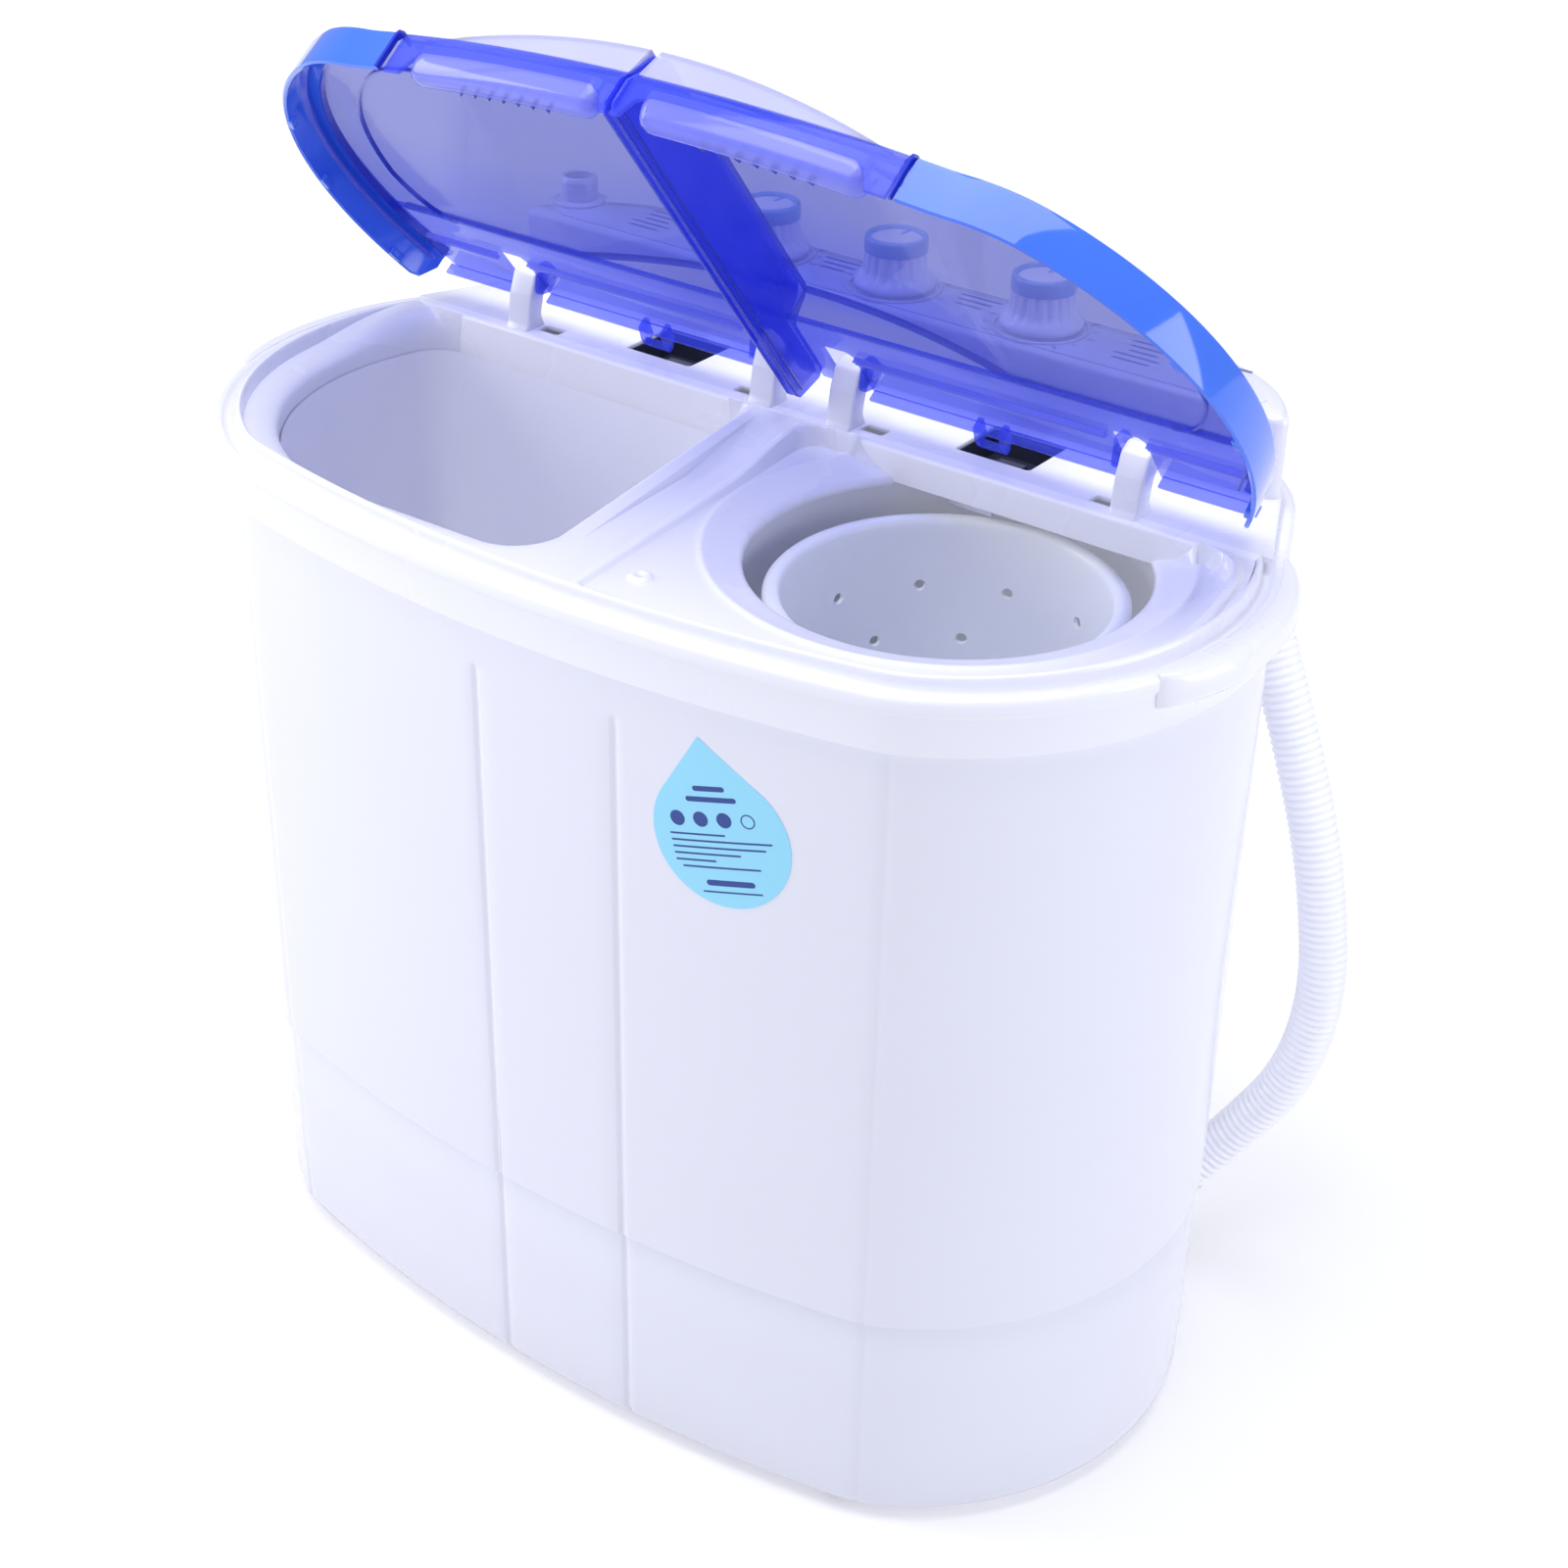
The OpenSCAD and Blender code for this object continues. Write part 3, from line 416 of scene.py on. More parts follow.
def mesh_piece(name, shape, material, body="cabinet", replaces=(), slot=None, sharp=38, bevel=0.0,
               bevel_if=None, weld=0.02):
    """Makes a smooth-shaded mesh object that rides on a body."""
    mesh = bpy.data.meshes.new(name)
    mesh.from_pydata([Vector(p) * MM for p in shape.points], [], shape.faces)
    work = bmesh.new()
    work.from_mesh(mesh)
    bmesh.ops.remove_doubles(work, verts=work.verts, dist=weld * MM)
    bmesh.ops.dissolve_degenerate(work, edges=work.edges, dist=weld * MM / 2)
    bmesh.ops.recalc_face_normals(work, faces=work.faces)
    if bevel:
        edges = [
            edge for edge in work.edges
            if edge.is_manifold and edge.calc_face_angle(0) > math.radians(sharp)
            and (bevel_if is None or bevel_if((edge.verts[0].co + edge.verts[1].co) / 2 / MM))
        ]
        bmesh.ops.bevel(work, geom=edges, offset=bevel * MM, segments=3, profile=0.5, affect="EDGES",
                        clamp_overlap=True)
    work.to_mesh(mesh)
    work.free()
    mesh.shade_smooth()
    mesh.set_sharp_from_angle(angle=math.radians(sharp))
    mesh.materials.append(material)
    piece = bpy.data.objects.new(name, mesh)
    scene.collection.objects.link(piece)
    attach(piece, body)
    if replaces:
        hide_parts(*replaces)
    return piece


def smooth(t):
    """0 to 1 with soft ends."""
    t = np.clip(t, 0.0, 1.0)
    return t * t * (3 - 2 * t)


# ---------------------------------------------------------------- plan of the body

LINK = CORNER_C - END_C
TANGENT = math.degrees(math.atan2(LINK.y, LINK.x) - math.acos((END_R - CORNER_R) / LINK.length))
GROOVE_MARKS = (0, 0.7, 1.5, 2.3, 3.2)


def meet(e):
    """Where the bow and the end arc cross, on the right, inset by e."""
    r1, r2, d = BOW_R - e, END_R - e, (END_C - BOW_C).length
    a = (r1 * r1 - r2 * r2 + d * d) / (2 * d)
    h = math.sqrt(r1 * r1 - a * a)
    u = (END_C - BOW_C) / d
    return BOW_C + Vector((a * u.x - h * u.y, a * u.y + h * u.x))


def angle_to(centre, point):
    return math.degrees(math.atan2(point[1] - centre[1], point[0] - centre[0]))


def bow_y(x, e=0.0):
    """The bow's y at x, inset by e."""
    return BOW_C.y - math.sqrt((BOW_R - e) ** 2 - x * x)


def front_marks():
    """The x places of the front's points, closer together at the grooves."""
    marks = {float(x) for x in range(0, 181, 10)}
    for x in (abs(GROOVES[0]), abs(GROOVES[1])):
        marks = {m for m in marks if abs(m - x) > 4} | {x + s * m for m in GROOVE_MARKS for s in (-1, 1)}
    return sorted(marks)


MARKS = front_marks()
BLEND_STEPS = 8


def plan_half(e):
    """The right half of the body's outline inset by e, from the front's middle to the back's."""
    corner = meet(e)
    bow_end = angle_to(BOW_C, corner) - math.degrees(CREASE / (BOW_R - e))
    end_start = angle_to(END_C, corner) + math.degrees(CREASE / (END_R - e))
    a, b = on_arc(BOW_C, BOW_R - e, bow_end), on_arc(END_C, END_R - e, end_start)
    points = [Vector((x, bow_y(x, e))) for x in MARKS]
    for i in range(BLEND_STEPS + 1):
        t = i / BLEND_STEPS
        points.append(a * (1 - t) ** 2 + corner * (2 * t * (1 - t)) + b * t * t)
    points += arc(END_C, END_R - e, end_start, TANGENT, 30)[1:]
    start = on_arc(CORNER_C, CORNER_R - e, TANGENT)
    points += [points[-1].lerp(start, i / 6) for i in range(1, 7)]
    points += arc(CORNER_C, CORNER_R - e, TANGENT, 90, 20)[1:]
    points += [Vector((points[-1].x * (1 - i / 8), BACK - e)) for i in range(1, 9)]
    return points


def plan(e):
    """The whole outline inset by e, anticlockwise from the front's middle."""
    half = plan_half(e)
    return half + mirrored(half[-2:0:-1])


CREASE_INDEX = len(MARKS) + BLEND_STEPS // 2
PLAN_N = len(plan(0))


def inset_of(x, y):
    """How far a point in front of the rear wall stands inside the rim."""
    x = np.abs(x)
    angle = np.degrees(np.arctan2(y - END_C.y, x - END_C.x))
    to_end, to_bow = (r - np.hypot(x - c.x, y - c.y) for r, c in ((END_R, END_C), (BOW_R, BOW_C)))
    return np.where(angle > angle_to(END_C, meet(15)), to_end, to_bow)


def groove_depth(x, z):
    """Depth of the two soft upright grooves in the front."""
    depth = 0.0
    for middle in GROOVES:
        across = max(0.0, 1 - abs(x - middle) / 2.6)
        along = min(1.0, max(0.0, (GROOVE_TOP - z) / 5))
        depth = max(depth, 1.3 * across**0.8 * math.sqrt(along))
    return depth


def sweep(section, grooves=False):
    """A closed (inset, z) section carried round the body's outline."""
    rings = []
    for e, z in section:
        ring = []
        for i, p in enumerate(plan(e)):
            depth = 0.0
            if grooves and p.y < 0:
                depth = groove_depth(p.x, z)
                if i in (CREASE_INDEX, PLAN_N - CREASE_INDEX):
                    depth = 0.7
            inward = (BOW_C - p).normalized() * depth
            ring.append((p.x + inward.x, p.y + inward.y, z))
        rings.append(ring)
    return loft(rings, sweep_closed=True)


# ---------------------------------------------------------------- cabinet, base and rim

def cabinet():
    rows = [SEAM_Z + 0.2, SEAM_Z + 0.8, 200, 260, 320, 380, 430, 438, 441, 443, GROOVE_TOP, 446, 466, 487.5]
    outer = [(CABINET_IN + (0.8 if z == rows[0] else 0.0), z) for z in rows]
    inner = [(CABINET_IN + 3, z) for z in (487.5, SEAM_Z)]
    mesh_piece("cabinet", sweep(outer + inner, grooves=True), WHITE, replaces=("cabinet_shell",), sharp=50)


def base():
    low = BASE_LOW.z
    outer = [(BASE_IN + 9, low), (BASE_IN + 3.5, low + 1.2), (BASE_IN + 0.9, low + 4), (BASE_IN, low + 9),
             (BASE_IN, 50), (BASE_IN, 90), (BASE_IN, SEAM_Z - 1.6), (BASE_IN + 0.7, SEAM_Z - 0.3)]
    inner = [(BASE_IN + 3, SEAM_Z - 0.3), (BASE_IN + 3, low + 6), (60, low + 4), (60, low)]
    shape = sweep(outer + inner, grooves=True)
    floor = [(p.x, p.y) for p in plan(60)]
    shape.join(plate([floor], low, low + 4))
    mesh_piece("base", shape, WHITE, replaces=("base_shell",), sharp=50)


def rim():
    section = [(1.2, 466), (1.2, 484.6), (0.9, 485.6), (0.1, 486.8), (0, 488.5), (0, 491.5), (0.7, 493.4),
               (2.2, 494.7), (4.2, RIM_Z), (5.6, 494.6), (6.8, 493.2), (8.2, 491.8), (9.6, 491.3),
               (11.2, 491.5),
               (12, 493), (12.3, 496.5), (12.6, 498.6), (13.4, 499.5), (14.4, 499.6), (15.2, 499),
               (15.6, 496), (15.7, 489), (4.4, 489), (4.4, 466)]
    mesh_piece("rim", sweep(section), DECK_WHITE, sharp=60)


def grips():
    """Lips that flare out under the rim at both ends."""
    section = [(-3, 478.5), (0.35, 478.2), (0.85, 479.5), (1.0, 482.5), (0.98, 488), (0.9, 491.5),
               (0.68, 493.9), (0.35, 494.8), (-2, 494.9)]
    low, high, steps = -66.0, 72.0, 32
    for name, side in (("left_handle", -1), ("right_handle", 1)):
        rings = []
        for i in range(steps + 1):
            y = low + (high - low) * i / steps
            bulge = 9.4 * max(0.0, 1 - abs(2 * i / steps - 1) ** 3.2) ** 0.6
            foot = Vector((END_C.x + math.sqrt(END_R**2 - (y - END_C.y) ** 2), y))
            out = (foot - END_C).normalized()
            ring = [(foot + out * (share * bulge if share > 0 else share), z) for share, z in section]
            rings.append([(side * p.x, p.y, z) for p, z in ring])
        mesh_piece(name + "_lip", loft(rings, caps=True), DECK_WHITE, replaces=(name,), sharp=60)


# ---------------------------------------------------------------- deck

WASH_C = Vector((-END_C.x, END_C.y))
WASH_IN = 24
WASH_DY = WALL_Y - WASH_IN - WASH_C.y
WASH_DX = math.sqrt((WASH_R - WASH_IN) ** 2 - WASH_DY**2)


def wash_corner(y, radius):
    """Middle of a corner at y that touches the wash opening's right wall."""
    reach = LEAN_N.dot(Vector((-WASH_RIGHT, WASH_MID))) - radius
    return Vector(((reach - LEAN_N.y * y) / LEAN_N.x, y))


def wash_outline(e=0.0):
    """The wash opening inset by e: a round left end, a bowed front and square-cut right and back edges."""
    lean = math.degrees(LEAN)
    small = max(10.0 - e, 0.6)
    back_corner = wash_corner(WALL_Y - e - small, e + small)
    tilt = math.degrees(math.atan2(WASH_DY, WASH_DX))
    return (
        arc(wash_corner(-116, WASH_IN), WASH_IN - e, -86, lean, 16)
        + arc(back_corner, small, lean, 90, 10)
        + [Vector((x, WALL_Y - e)) for x in (-75, -115, -155, -195)]
        + arc((WASH_C.x - WASH_DX, WALL_Y - WASH_IN), WASH_IN - e, 90, 180 - tilt, 12)
        + arc(WASH_C, WASH_R - e, 180 - tilt, 268, 52)
    )


MOUTH_R = 116.5                     # outer edge of the funnel round the spin opening
RIDGE_R, RIDGE_BACK_R = 9.0, 20.0   # front and back corners of the ridge


def soft_corner(a, b, radius):
    """The lesser of two distances, rounded where both are small."""
    reach = np.hypot(np.maximum(radius - a, 0), np.maximum(radius - b, 0))
    return np.where((a < radius) & (b < radius), radius - reach, np.minimum(a, b))


def pool_depth(x, y):
    """How far a point stands inside the ridge round the spin opening."""
    side = (x - RIDGE_AT.x) * LEAN_N.x + (y - RIDGE_AT.y) * LEAN_N.y
    front = soft_corner(side, inset_of(x, y) - RIDGE_IN, RIDGE_R)
    return soft_corner(front, WALL_Y + 3 - y, RIDGE_BACK_R)


def pool_outline(d):
    """The line at depth d inside the ridge."""
    lean = math.degrees(LEAN)
    low, high = -160.0, 0.0
    for _ in range(40):
        y = (low + high) / 2
        x = RIDGE_AT.x + (RIDGE_R - LEAN_N.y * (y - RIDGE_AT.y)) / LEAN_N.x
        if BOW_R - math.hypot(x - BOW_C.x, y - BOW_C.y) < RIDGE_IN + RIDGE_R:
            low = y
        else:
            high = y
    front_c = Vector((x, y))
    y = WALL_Y + 3 - RIDGE_BACK_R
    left_c = Vector((RIDGE_AT.x + (RIDGE_BACK_R - LEAN_N.y * (y - RIDGE_AT.y)) / LEAN_N.x, y))
    reach = END_R - RIDGE_IN - RIDGE_BACK_R
    right_c = Vector((END_C.x + math.sqrt(reach**2 - (y - END_C.y) ** 2), y))
    points = arc(left_c, RIDGE_BACK_R - d, 90, 180 + lean, 12)
    corner = arc(front_c, RIDGE_R - d, 180 + lean, 360 + angle_to(BOW_C, front_c), 12)
    points += [points[-1].lerp(corner[0], i / 30) for i in range(1, 30)] + corner
    edge = [p for p in plan_half(RIDGE_IN + d) if p.x > corner[-1].x + 3 and p.y < right_c.y - 1]
    points += edge
    points += arc(right_c, RIDGE_BACK_R - d, angle_to(END_C, right_c), 90, 12)
    points += [points[-1].lerp(points[0], i / 40) for i in range(1, 40)]
    return points


def deck_height(x, y):
    """Height of the deck's top: level in front, rising to the rear deck, sunken round the spin opening."""
    out = FLOOR_Z + (REAR_Z - FLOOR_Z) * smooth((y + 25) / 73)
    depth = pool_depth(x, y)
    bead = smooth((depth + 1.5) / 1.8) * (1 - smooth((depth - 3.6) / 2.0))
    bead_top = out + 3.0 * (1 - 0.5 * smooth((y - 10) / 40))
    into = smooth((depth - 3.4) / 2.6)
    height = out + (bead_top - out) * bead
    height = np.where(depth > 2.5, bead_top + (FLOOR_Z - bead_top) * into, height)
    # the wash opening's rolled edge
    points = np.stack([x, y], 1)
    away = distance(points, wash_outline())
    width = np.where(x < -130, 15.0, 9.0)
    fall = np.clip(1 - away / width, 0, 1)
    drop = (height - (PLATE_Z - 4)) * (1 - np.sqrt(1 - fall**2))
    height = np.where((away < width) & (y < WALL_Y - 0.01) & (x < 0), height - drop, height)
    # a soft bead round the spin opening
    r = np.hypot(x - SPIN_C.x, y - SPIN_C.y) - MOUTH_R
    height = height + 0.9 * np.exp(-((r - 1.6) / 1.9) ** 2) * (x > 0)
    return height


def deck_heights(points):
    """The deck's height at each of a list of points."""
    xy = np.array([tuple(p) for p in points], float)
    return deck_height(xy[:, 0], xy[:, 1])


def deck():
    half = [p for p in plan_half(DECK_IN) if p.y < WALL_Y]
    half.append(Vector((END_C.x + math.sqrt((END_R - DECK_IN) ** 2 - (WALL_Y - END_C.y) ** 2), WALL_Y)))
    outline = half + mirrored(half[:0:-1])
    wash = wash_outline()
    reach = math.degrees(math.asin((WALL_Y - SPIN_C.y) / MOUTH_R))
    spin = arc(SPIN_C, MOUTH_R, 180 - reach, 360 + reach, 110)
    lines = [wash_outline(-d) for d in (0.5, 1.1, 1.9, 2.8, 4.0, 5.4, 7.0, 9.0, 11.5, 15)]
    lines += [arc(SPIN_C, MOUTH_R + d, 0, 360, 150) for d in (0.8, 1.6, 2.4, 3.4, 4.8, 6.6)]
    lines += [pool_outline(d) for d in (-1.6, -1.0, -0.5, 0.0, 0.5, 1.4, 2.4, 3.3, 3.9, 4.5, 5.1, 5.8, 6.8)]
    points = np.array([(x, y) for x in np.arange(-262, 268, 7.0) for y in np.arange(-164, 50, 7.0)])
    rings = np.hypot(points[:, 0] - SPIN_C.x, points[:, 1] - SPIN_C.y)
    depth = pool_depth(points[:, 0], points[:, 1])
    ok = inside(points, outline) & ~inside(points, wash) & (points[:, 1] < WALL_Y - 1)
    ok &= (distance(points, outline) > 2) & (distance(points, wash) > 16) & (rings > MOUTH_R + 9)
    ok &= (depth < -3) | (depth > 9)
    span = [Vector((x, WALL_Y)) for x in np.arange(-20, 24, 4.0)]
    keep_out = spin + [Vector((SPIN_C.x, WALL_Y + 40))]
    flat, faces = fill([outline, wash, keep_out], extra=[tuple(p) for p in points[ok]] + span,
                       lines=[line + line[:1] for line in lines])
    shape = Shape([upright(p, h) for p, h in zip(flat, deck_heights(flat))], faces)
    # the wall down into the wash opening
    at_back = [p.y > WALL_Y - 0.01 for p in wash]
    foot = [(p.x, p.y + (1.0 if back else 0.0)) for p, back in zip(wash, at_back)]
    top = np.where(at_back, REAR_Z - 6, deck_heights(wash))
    rings = [[upright(p, h) for p, h in zip(foot, top)]]
    rings += [[upright(p, level) for p in foot] for level in (480.0, 476.0)]
    shape.join(loft(rings))
    # the funnel into the spin opening
    section = [(MOUTH_R, FLOOR_Z), (115.2, 490.6), (113.4, 489.9), (108, 488.0), (102, 486.1), (99.8, 485.2),
               (98.6, 484.0), (98, 482.2), (98.2, 480.6), (99.6, 480)]
    above = deck_heights(spin) - FLOOR_Z
    rings = []
    for k, (r, level) in enumerate(section):
        half_turn = math.degrees(math.asin(min(1.0, (WALL_Y - SPIN_C.y) / r)))
        share = (1.0, 0.72, 0.45, 0.12)[k] if k < 4 else 0.0
        rings.append([(p.x, p.y, level + h * share)
                      for p, h in zip(arc(SPIN_C, r, 180 - half_turn, 360 + half_turn, 110), above)])
    shape.join(loft(rings, ring_closed=False))
    mesh_piece("deck", shape, DECK_WHITE, replaces=("top_deck",), sharp=48)


def slot_outline(x, half, y0, y1, radius):
    """A slot with rounded corners, from x - half to x + half."""
    corners = ((x - half, y0), (x + half, y0), (x + half, y1), (x - half, y1))
    return rounded([(*corner, radius) for corner in corners])


def rear_deck():
    """The raised rear part, with the wall behind both openings."""
    front, far = 58.0, 266.5
    # The walls behind the openings take the lighter rear white, which is painted light against the lids'
    # shadow.
    for name, foot_z, x0, x1 in (("wash_back_wall", 474, -far, 8), ("spin_back_wall", 482, 8, far)):
        wall = rounded([(WALL_Y + 3, foot_z, 0.5), (WALL_Y, foot_z, 0.8), (WALL_Y, REAR_Z, 2.6),
                        (front, REAR_Z, 0), (front, 496.6, 0), (WALL_Y + 3, 496.6, 0)], 6)
        mesh_piece(name, prism(wall, x0, x1), REAR_LIT_WHITE, sharp=50)
    inset = 8
    edge_x = END_C.x + math.sqrt((END_R - inset) ** 2 - (front - END_C.y) ** 2)
    half = [Vector((edge_x, front))] + [p for p in plan_half(inset) if p.y > front + 1]
    outline = half + mirrored(half[::-1])
    holes = [slot_outline(x, 22, 71, 109, 2) for x in SWITCHES]
    holes += [slot_outline(x + side * 16, 7, 60.5, 68.5, 1.5) for x, side in zip(POSTS, (1, -1, 1, -1))]
    shape = plate([outline] + holes, REAR_Z - 3, REAR_Z)
    mesh_piece("rear_deck", shape, DECK_WHITE, bevel=0.9, sharp=40,
               bevel_if=lambda p: p.y > front + 0.5)


def posts():
    """Four hooked posts that lean back and carry the lids' pins."""
    profile = rounded([
        (WALL_Y + 1.5, REAR_Z - 1, 0), (WALL_Y + 4, REAR_Z + 3, 4), (WALL_Y + 6.5, HINGE_Z - 8, 9),
        (HINGE_Y - 8.5, HINGE_Z + 3.5, 4), (HINGE_Y - 2.5, HINGE_Z + 7.4, 4.5),
        (HINGE_Y + 4.5, HINGE_Z + 6.0, 3), (HINGE_Y + 8, HINGE_Z - 1, 3),
        (HINGE_Y + 5.5, HINGE_Z - 5.5, 2.5), (HINGE_Y - 0.5, HINGE_Z - 8, 5),
        (HINGE_Y - 3.5, REAR_Z + 7, 5), (WALL_Y + 19, REAR_Z - 1, 0),
    ], 6)
    for i, x in enumerate(POSTS):
        mesh_piece(f"hinge_post_{i + 1}", prism(profile, x - POST_HALF, x + POST_HALF), DECK_WHITE,
                   replaces=("hinge_posts",) if i == 0 else (), bevel=1.6, sharp=40)


def screw_boss():
    x, y = 44, -128
    z = float(deck_heights([(x, y)])[0])
    section = ((0, 1.0), (1.6, 1.0), (2.2, 1.3), (3.4, 1.9), (4.6, 1.7), (5.8, 0.9), (6.8, -0.4))
    mesh_piece("deck_screw_boss", lathe(raised(section, z), (x, y), count=40), DECK_WHITE,
               replaces=("deck_screw",),
               slot="tub_plastic", sharp=60)


# ---------------------------------------------------------------- tubs and basket

def wash_tub():
    levels = [(0.6, 477), (0.8, 470), (1.8, 420), (3.2, 340), (4.6, 260), (5.6, 196), (6.4, 186), (9, 177.5),
              (13.5, 171.5), (19, 169), (23, 168.4)]
    rings = []
    for e, z in levels:
        ring = []
        for p in wash_outline(e):
            turn = angle_to(WASH_C, p) % 360
            flute = 0.0
            if 165 < turn < 262 and z < 460:
                flute = 0.9 * max(0.0, math.cos(math.radians((turn - 165) * 360 / 13.8))) ** 3
            inward = (WASH_C - p).normalized() * flute
            ring.append((p.x + inward.x, p.y + inward.y, z))
        rings.append(ring)
    shape = loft(rings)
    last_e, floor_z = levels[-1]
    shape.cap([wash_outline(last_e)], floor_z)
    mesh_piece("wash_tub_inner", shape, TUB, replaces=("wash_tub",), sharp=45)
    slats = Shape()
    for i in range(4):
        z = 420 + 8 * i
        slats.join(prism(rounded([(z, 0.8, 0.4), (z + 3, 0.8, 0.4), (z + 3, -2.4, 1), (z, -2.4, 1)]), -30, 30,
                         place=lambda p, t: (p[1], t, p[0])))
    slats = slats.turned(Matrix.Translation((-WASH_RIGHT - 1.2, WASH_MID, 0)) @ Matrix.Rotation(LEAN, 4, "Z"))
    mesh_piece("overflow_slats", slats, TUB, sharp=45)


def spin_tub():
    section = [(105, 481), (108, 481), (108, 152), (106, 150), (30, 150), (30, 153), (103.5, 153),
               (105, 154.5)]
    mesh_piece("spin_tub_can", lathe(section, SPIN_C, closed=True, count=120), TUB, replaces=("spin_tub",),
               sharp=40)


def basket():
    floor_z, top_z = (corner.z for corner in node_box("basket_shell"))
    inner, outer, count, rows, first = 80.0, 82.0, 11, 6, 67.0
    seam = first + 180 / count
    holes = []
    for row in range(rows):
        for i in range(count):
            turn = (i + (row % 2) / 2) * 360 / count + first
            holes.append((math.radians((turn - seam) % 360) * inner, 470 - 38 - row * 30))
    width = 2 * math.pi * inner
    holes = [h for h in holes if 6 < h[0] < width - 6]
    bottom = floor_z + 6
    columns = 120
    xs = [width * i / columns for i in range(columns + 1)]
    outline = ([Vector((x, bottom)) for x in xs] + [Vector((width, z)) for z in (300, 350, 400)]
               + [Vector((x, top_z)) for x in xs[::-1]] + [Vector((0, z)) for z in (400, 350, 300)])
    grid = [(x, z) for x in xs[1:-1:2] for z in np.arange(bottom + 10, top_z - 4, 14)]
    grid = [g for g in grid if all(math.hypot(g[0] - h[0], g[1] - h[1]) > 5.5 for h in holes)]

    def wrap(p, radius):
        a = p[0] / inner + math.radians(seam)
        return (SPIN_C.x + radius * math.cos(a), SPIN_C.y + radius * math.sin(a), p[1])

    shape = Shape()
    rims = {}
    for radius, size in ((inner, 3.2), (outer, 2.5)):
        rims[radius] = [circle(h, size, 16) for h in holes]
        flat, faces = fill([outline] + rims[radius], extra=grid)
        shape.add([wrap(p, radius) for p in flat], faces)
    for a, b in zip(rims[inner], rims[outer]):
        shape.join(loft([[wrap(p, radius) for p in loop]
                         for loop, radius in ((a, inner), (b, inner + 1), (b, outer))]))
    skirt = [(inner, bottom), (inner - 1, floor_z + 4), (inner - 3.5, floor_z + 3), (70, floor_z + 3)]
    shape.join(lathe(skirt, SPIN_C, count=columns))
    under = [(outer, bottom), (outer, floor_z + 1), (outer - 1, floor_z), (34, floor_z)]
    shape.join(lathe(under, SPIN_C, count=columns))
    drains = [circle(at, 3, 16) for at in circle(SPIN_C, 58, 8)]
    shape.cap([circle(SPIN_C, 70, columns), circle(SPIN_C, 34, 60)] + drains, floor_z + 3)
    hub = ((34, 3), (33, 5.5), (30, 7.5), (17, 17.5), (14, 21), (11, 22), (0, 22))
    shape.join(lathe(raised(hub, floor_z), SPIN_C, count=60))
    mesh_piece("basket", shape, BASKET, body="spin_rotor", replaces=("basket_shell",), sharp=40)
    section = [(80, 461.5), (80, 466), (80.6, 468), (82, 469.5), (84.4, 470), (87, 469.2), (88.7, 467.2),
               (89, 465),
               (88.2, 463), (86.4, 461.8), (84, 461.4)]
    mesh_piece("basket_lip", lathe(section, SPIN_C, closed=True, count=120), BASKET, body="spin_rotor",
               replaces=("basket_ring",), sharp=60)


def bracket():
    mesh_piece("gap_plate", box_shape((SPIN_C.x - 52, 66, 471), (SPIN_C.x - 26, 68.5, 497)), WHITE,
               replaces=("gap_bracket",), bevel=0.6)


cabinet()
base()
rim()
grips()
deck()
rear_deck()
posts()
screw_boss()
wash_tub()
spin_tub()
basket()
bracket()


# ---------------------------------------------------------------- lids

POSE = (
    Matrix.Translation((0, HINGE_Y, HINGE_Z))
    @ Matrix.Rotation(math.radians(-LID_OPEN), 4, "X")
    @ Matrix.Translation((0, -HINGE_Y, -HINGE_Z))
)
EDGE_X = 148                        # where the opaque end of the skirt meets the clear front
SKIRT_BACK = HINGE_Y + 1
BAND_BACK = HINGE_Y + 9
WINDOW_BACK = 27
GLASS_EDGE = HALF_GAP + 1.4         # inner edge of the window and of the band
WINDOW_IN = 9.6                     # how far the window's edge stands inside the lid's
PATH_STEP = 4.0                     # longest distance between points along a lid's edge


def lid_piece(side, part, shape, material, **options):
    """Makes one piece of a lid, drawn shut for the right-hand lid, mirrored for the left and turned open."""
    flip = Matrix.Scale(side, 4, (1, 0, 0))
    name = "spin_lid" if side > 0 else "wash_lid"
    replaces = [f"{name}_{node}" for node in options.pop("nodes", ())]
    return mesh_piece(f"{name}_{part}", shape.turned(POSE @ flip), material, body=name, replaces=replaces,
                      **options)


def lid_path(e, x_from, y_to):
    """The lid's outline inset by e, from x_from on the bow round to y_to at the end."""
    half = plan_half(LID_IN + e)
    points = [Vector((x_from,
                      bow_y(x_from, LID_IN + e)))] + [p for p in half if p.y < y_to and p.x > x_from + 0.5]
    last = points[-1]
    after = [p for p in half if p.y >= y_to][0]
    points.append(last.lerp(after, (y_to - last.y) / (after.y - last.y)))
    dense = [points[0]]
    for p in points[1:]:
        n = max(1, int((p - dense[-1]).length // PATH_STEP))
        start = dense[-1]
        dense += [start.lerp(p, k / n) for k in range(1, n + 1)]
    return dense


def outward(points, i):
    """The outward side of a path that runs anticlockwise."""
    a, b = points[max(i - 1, 0)], points[min(i + 1, len(points) - 1)]
    d = (b - a).normalized()
    return Vector((d.y, -d.x))


def moved_in(p, out, section):
    """A ring of (inset, z) points where a path passes p."""
    return [(p.x - out.x * e, p.y - out.y * e, z) for e, z in section]


def front_inset(x):
    """The clear front stands inside the opaque end; a bevel strip joins them."""
    if x < EDGE_X - 1:
        return 2.6
    return 1.5 * max(0.0, min(1.0, (182 - x) / 14))


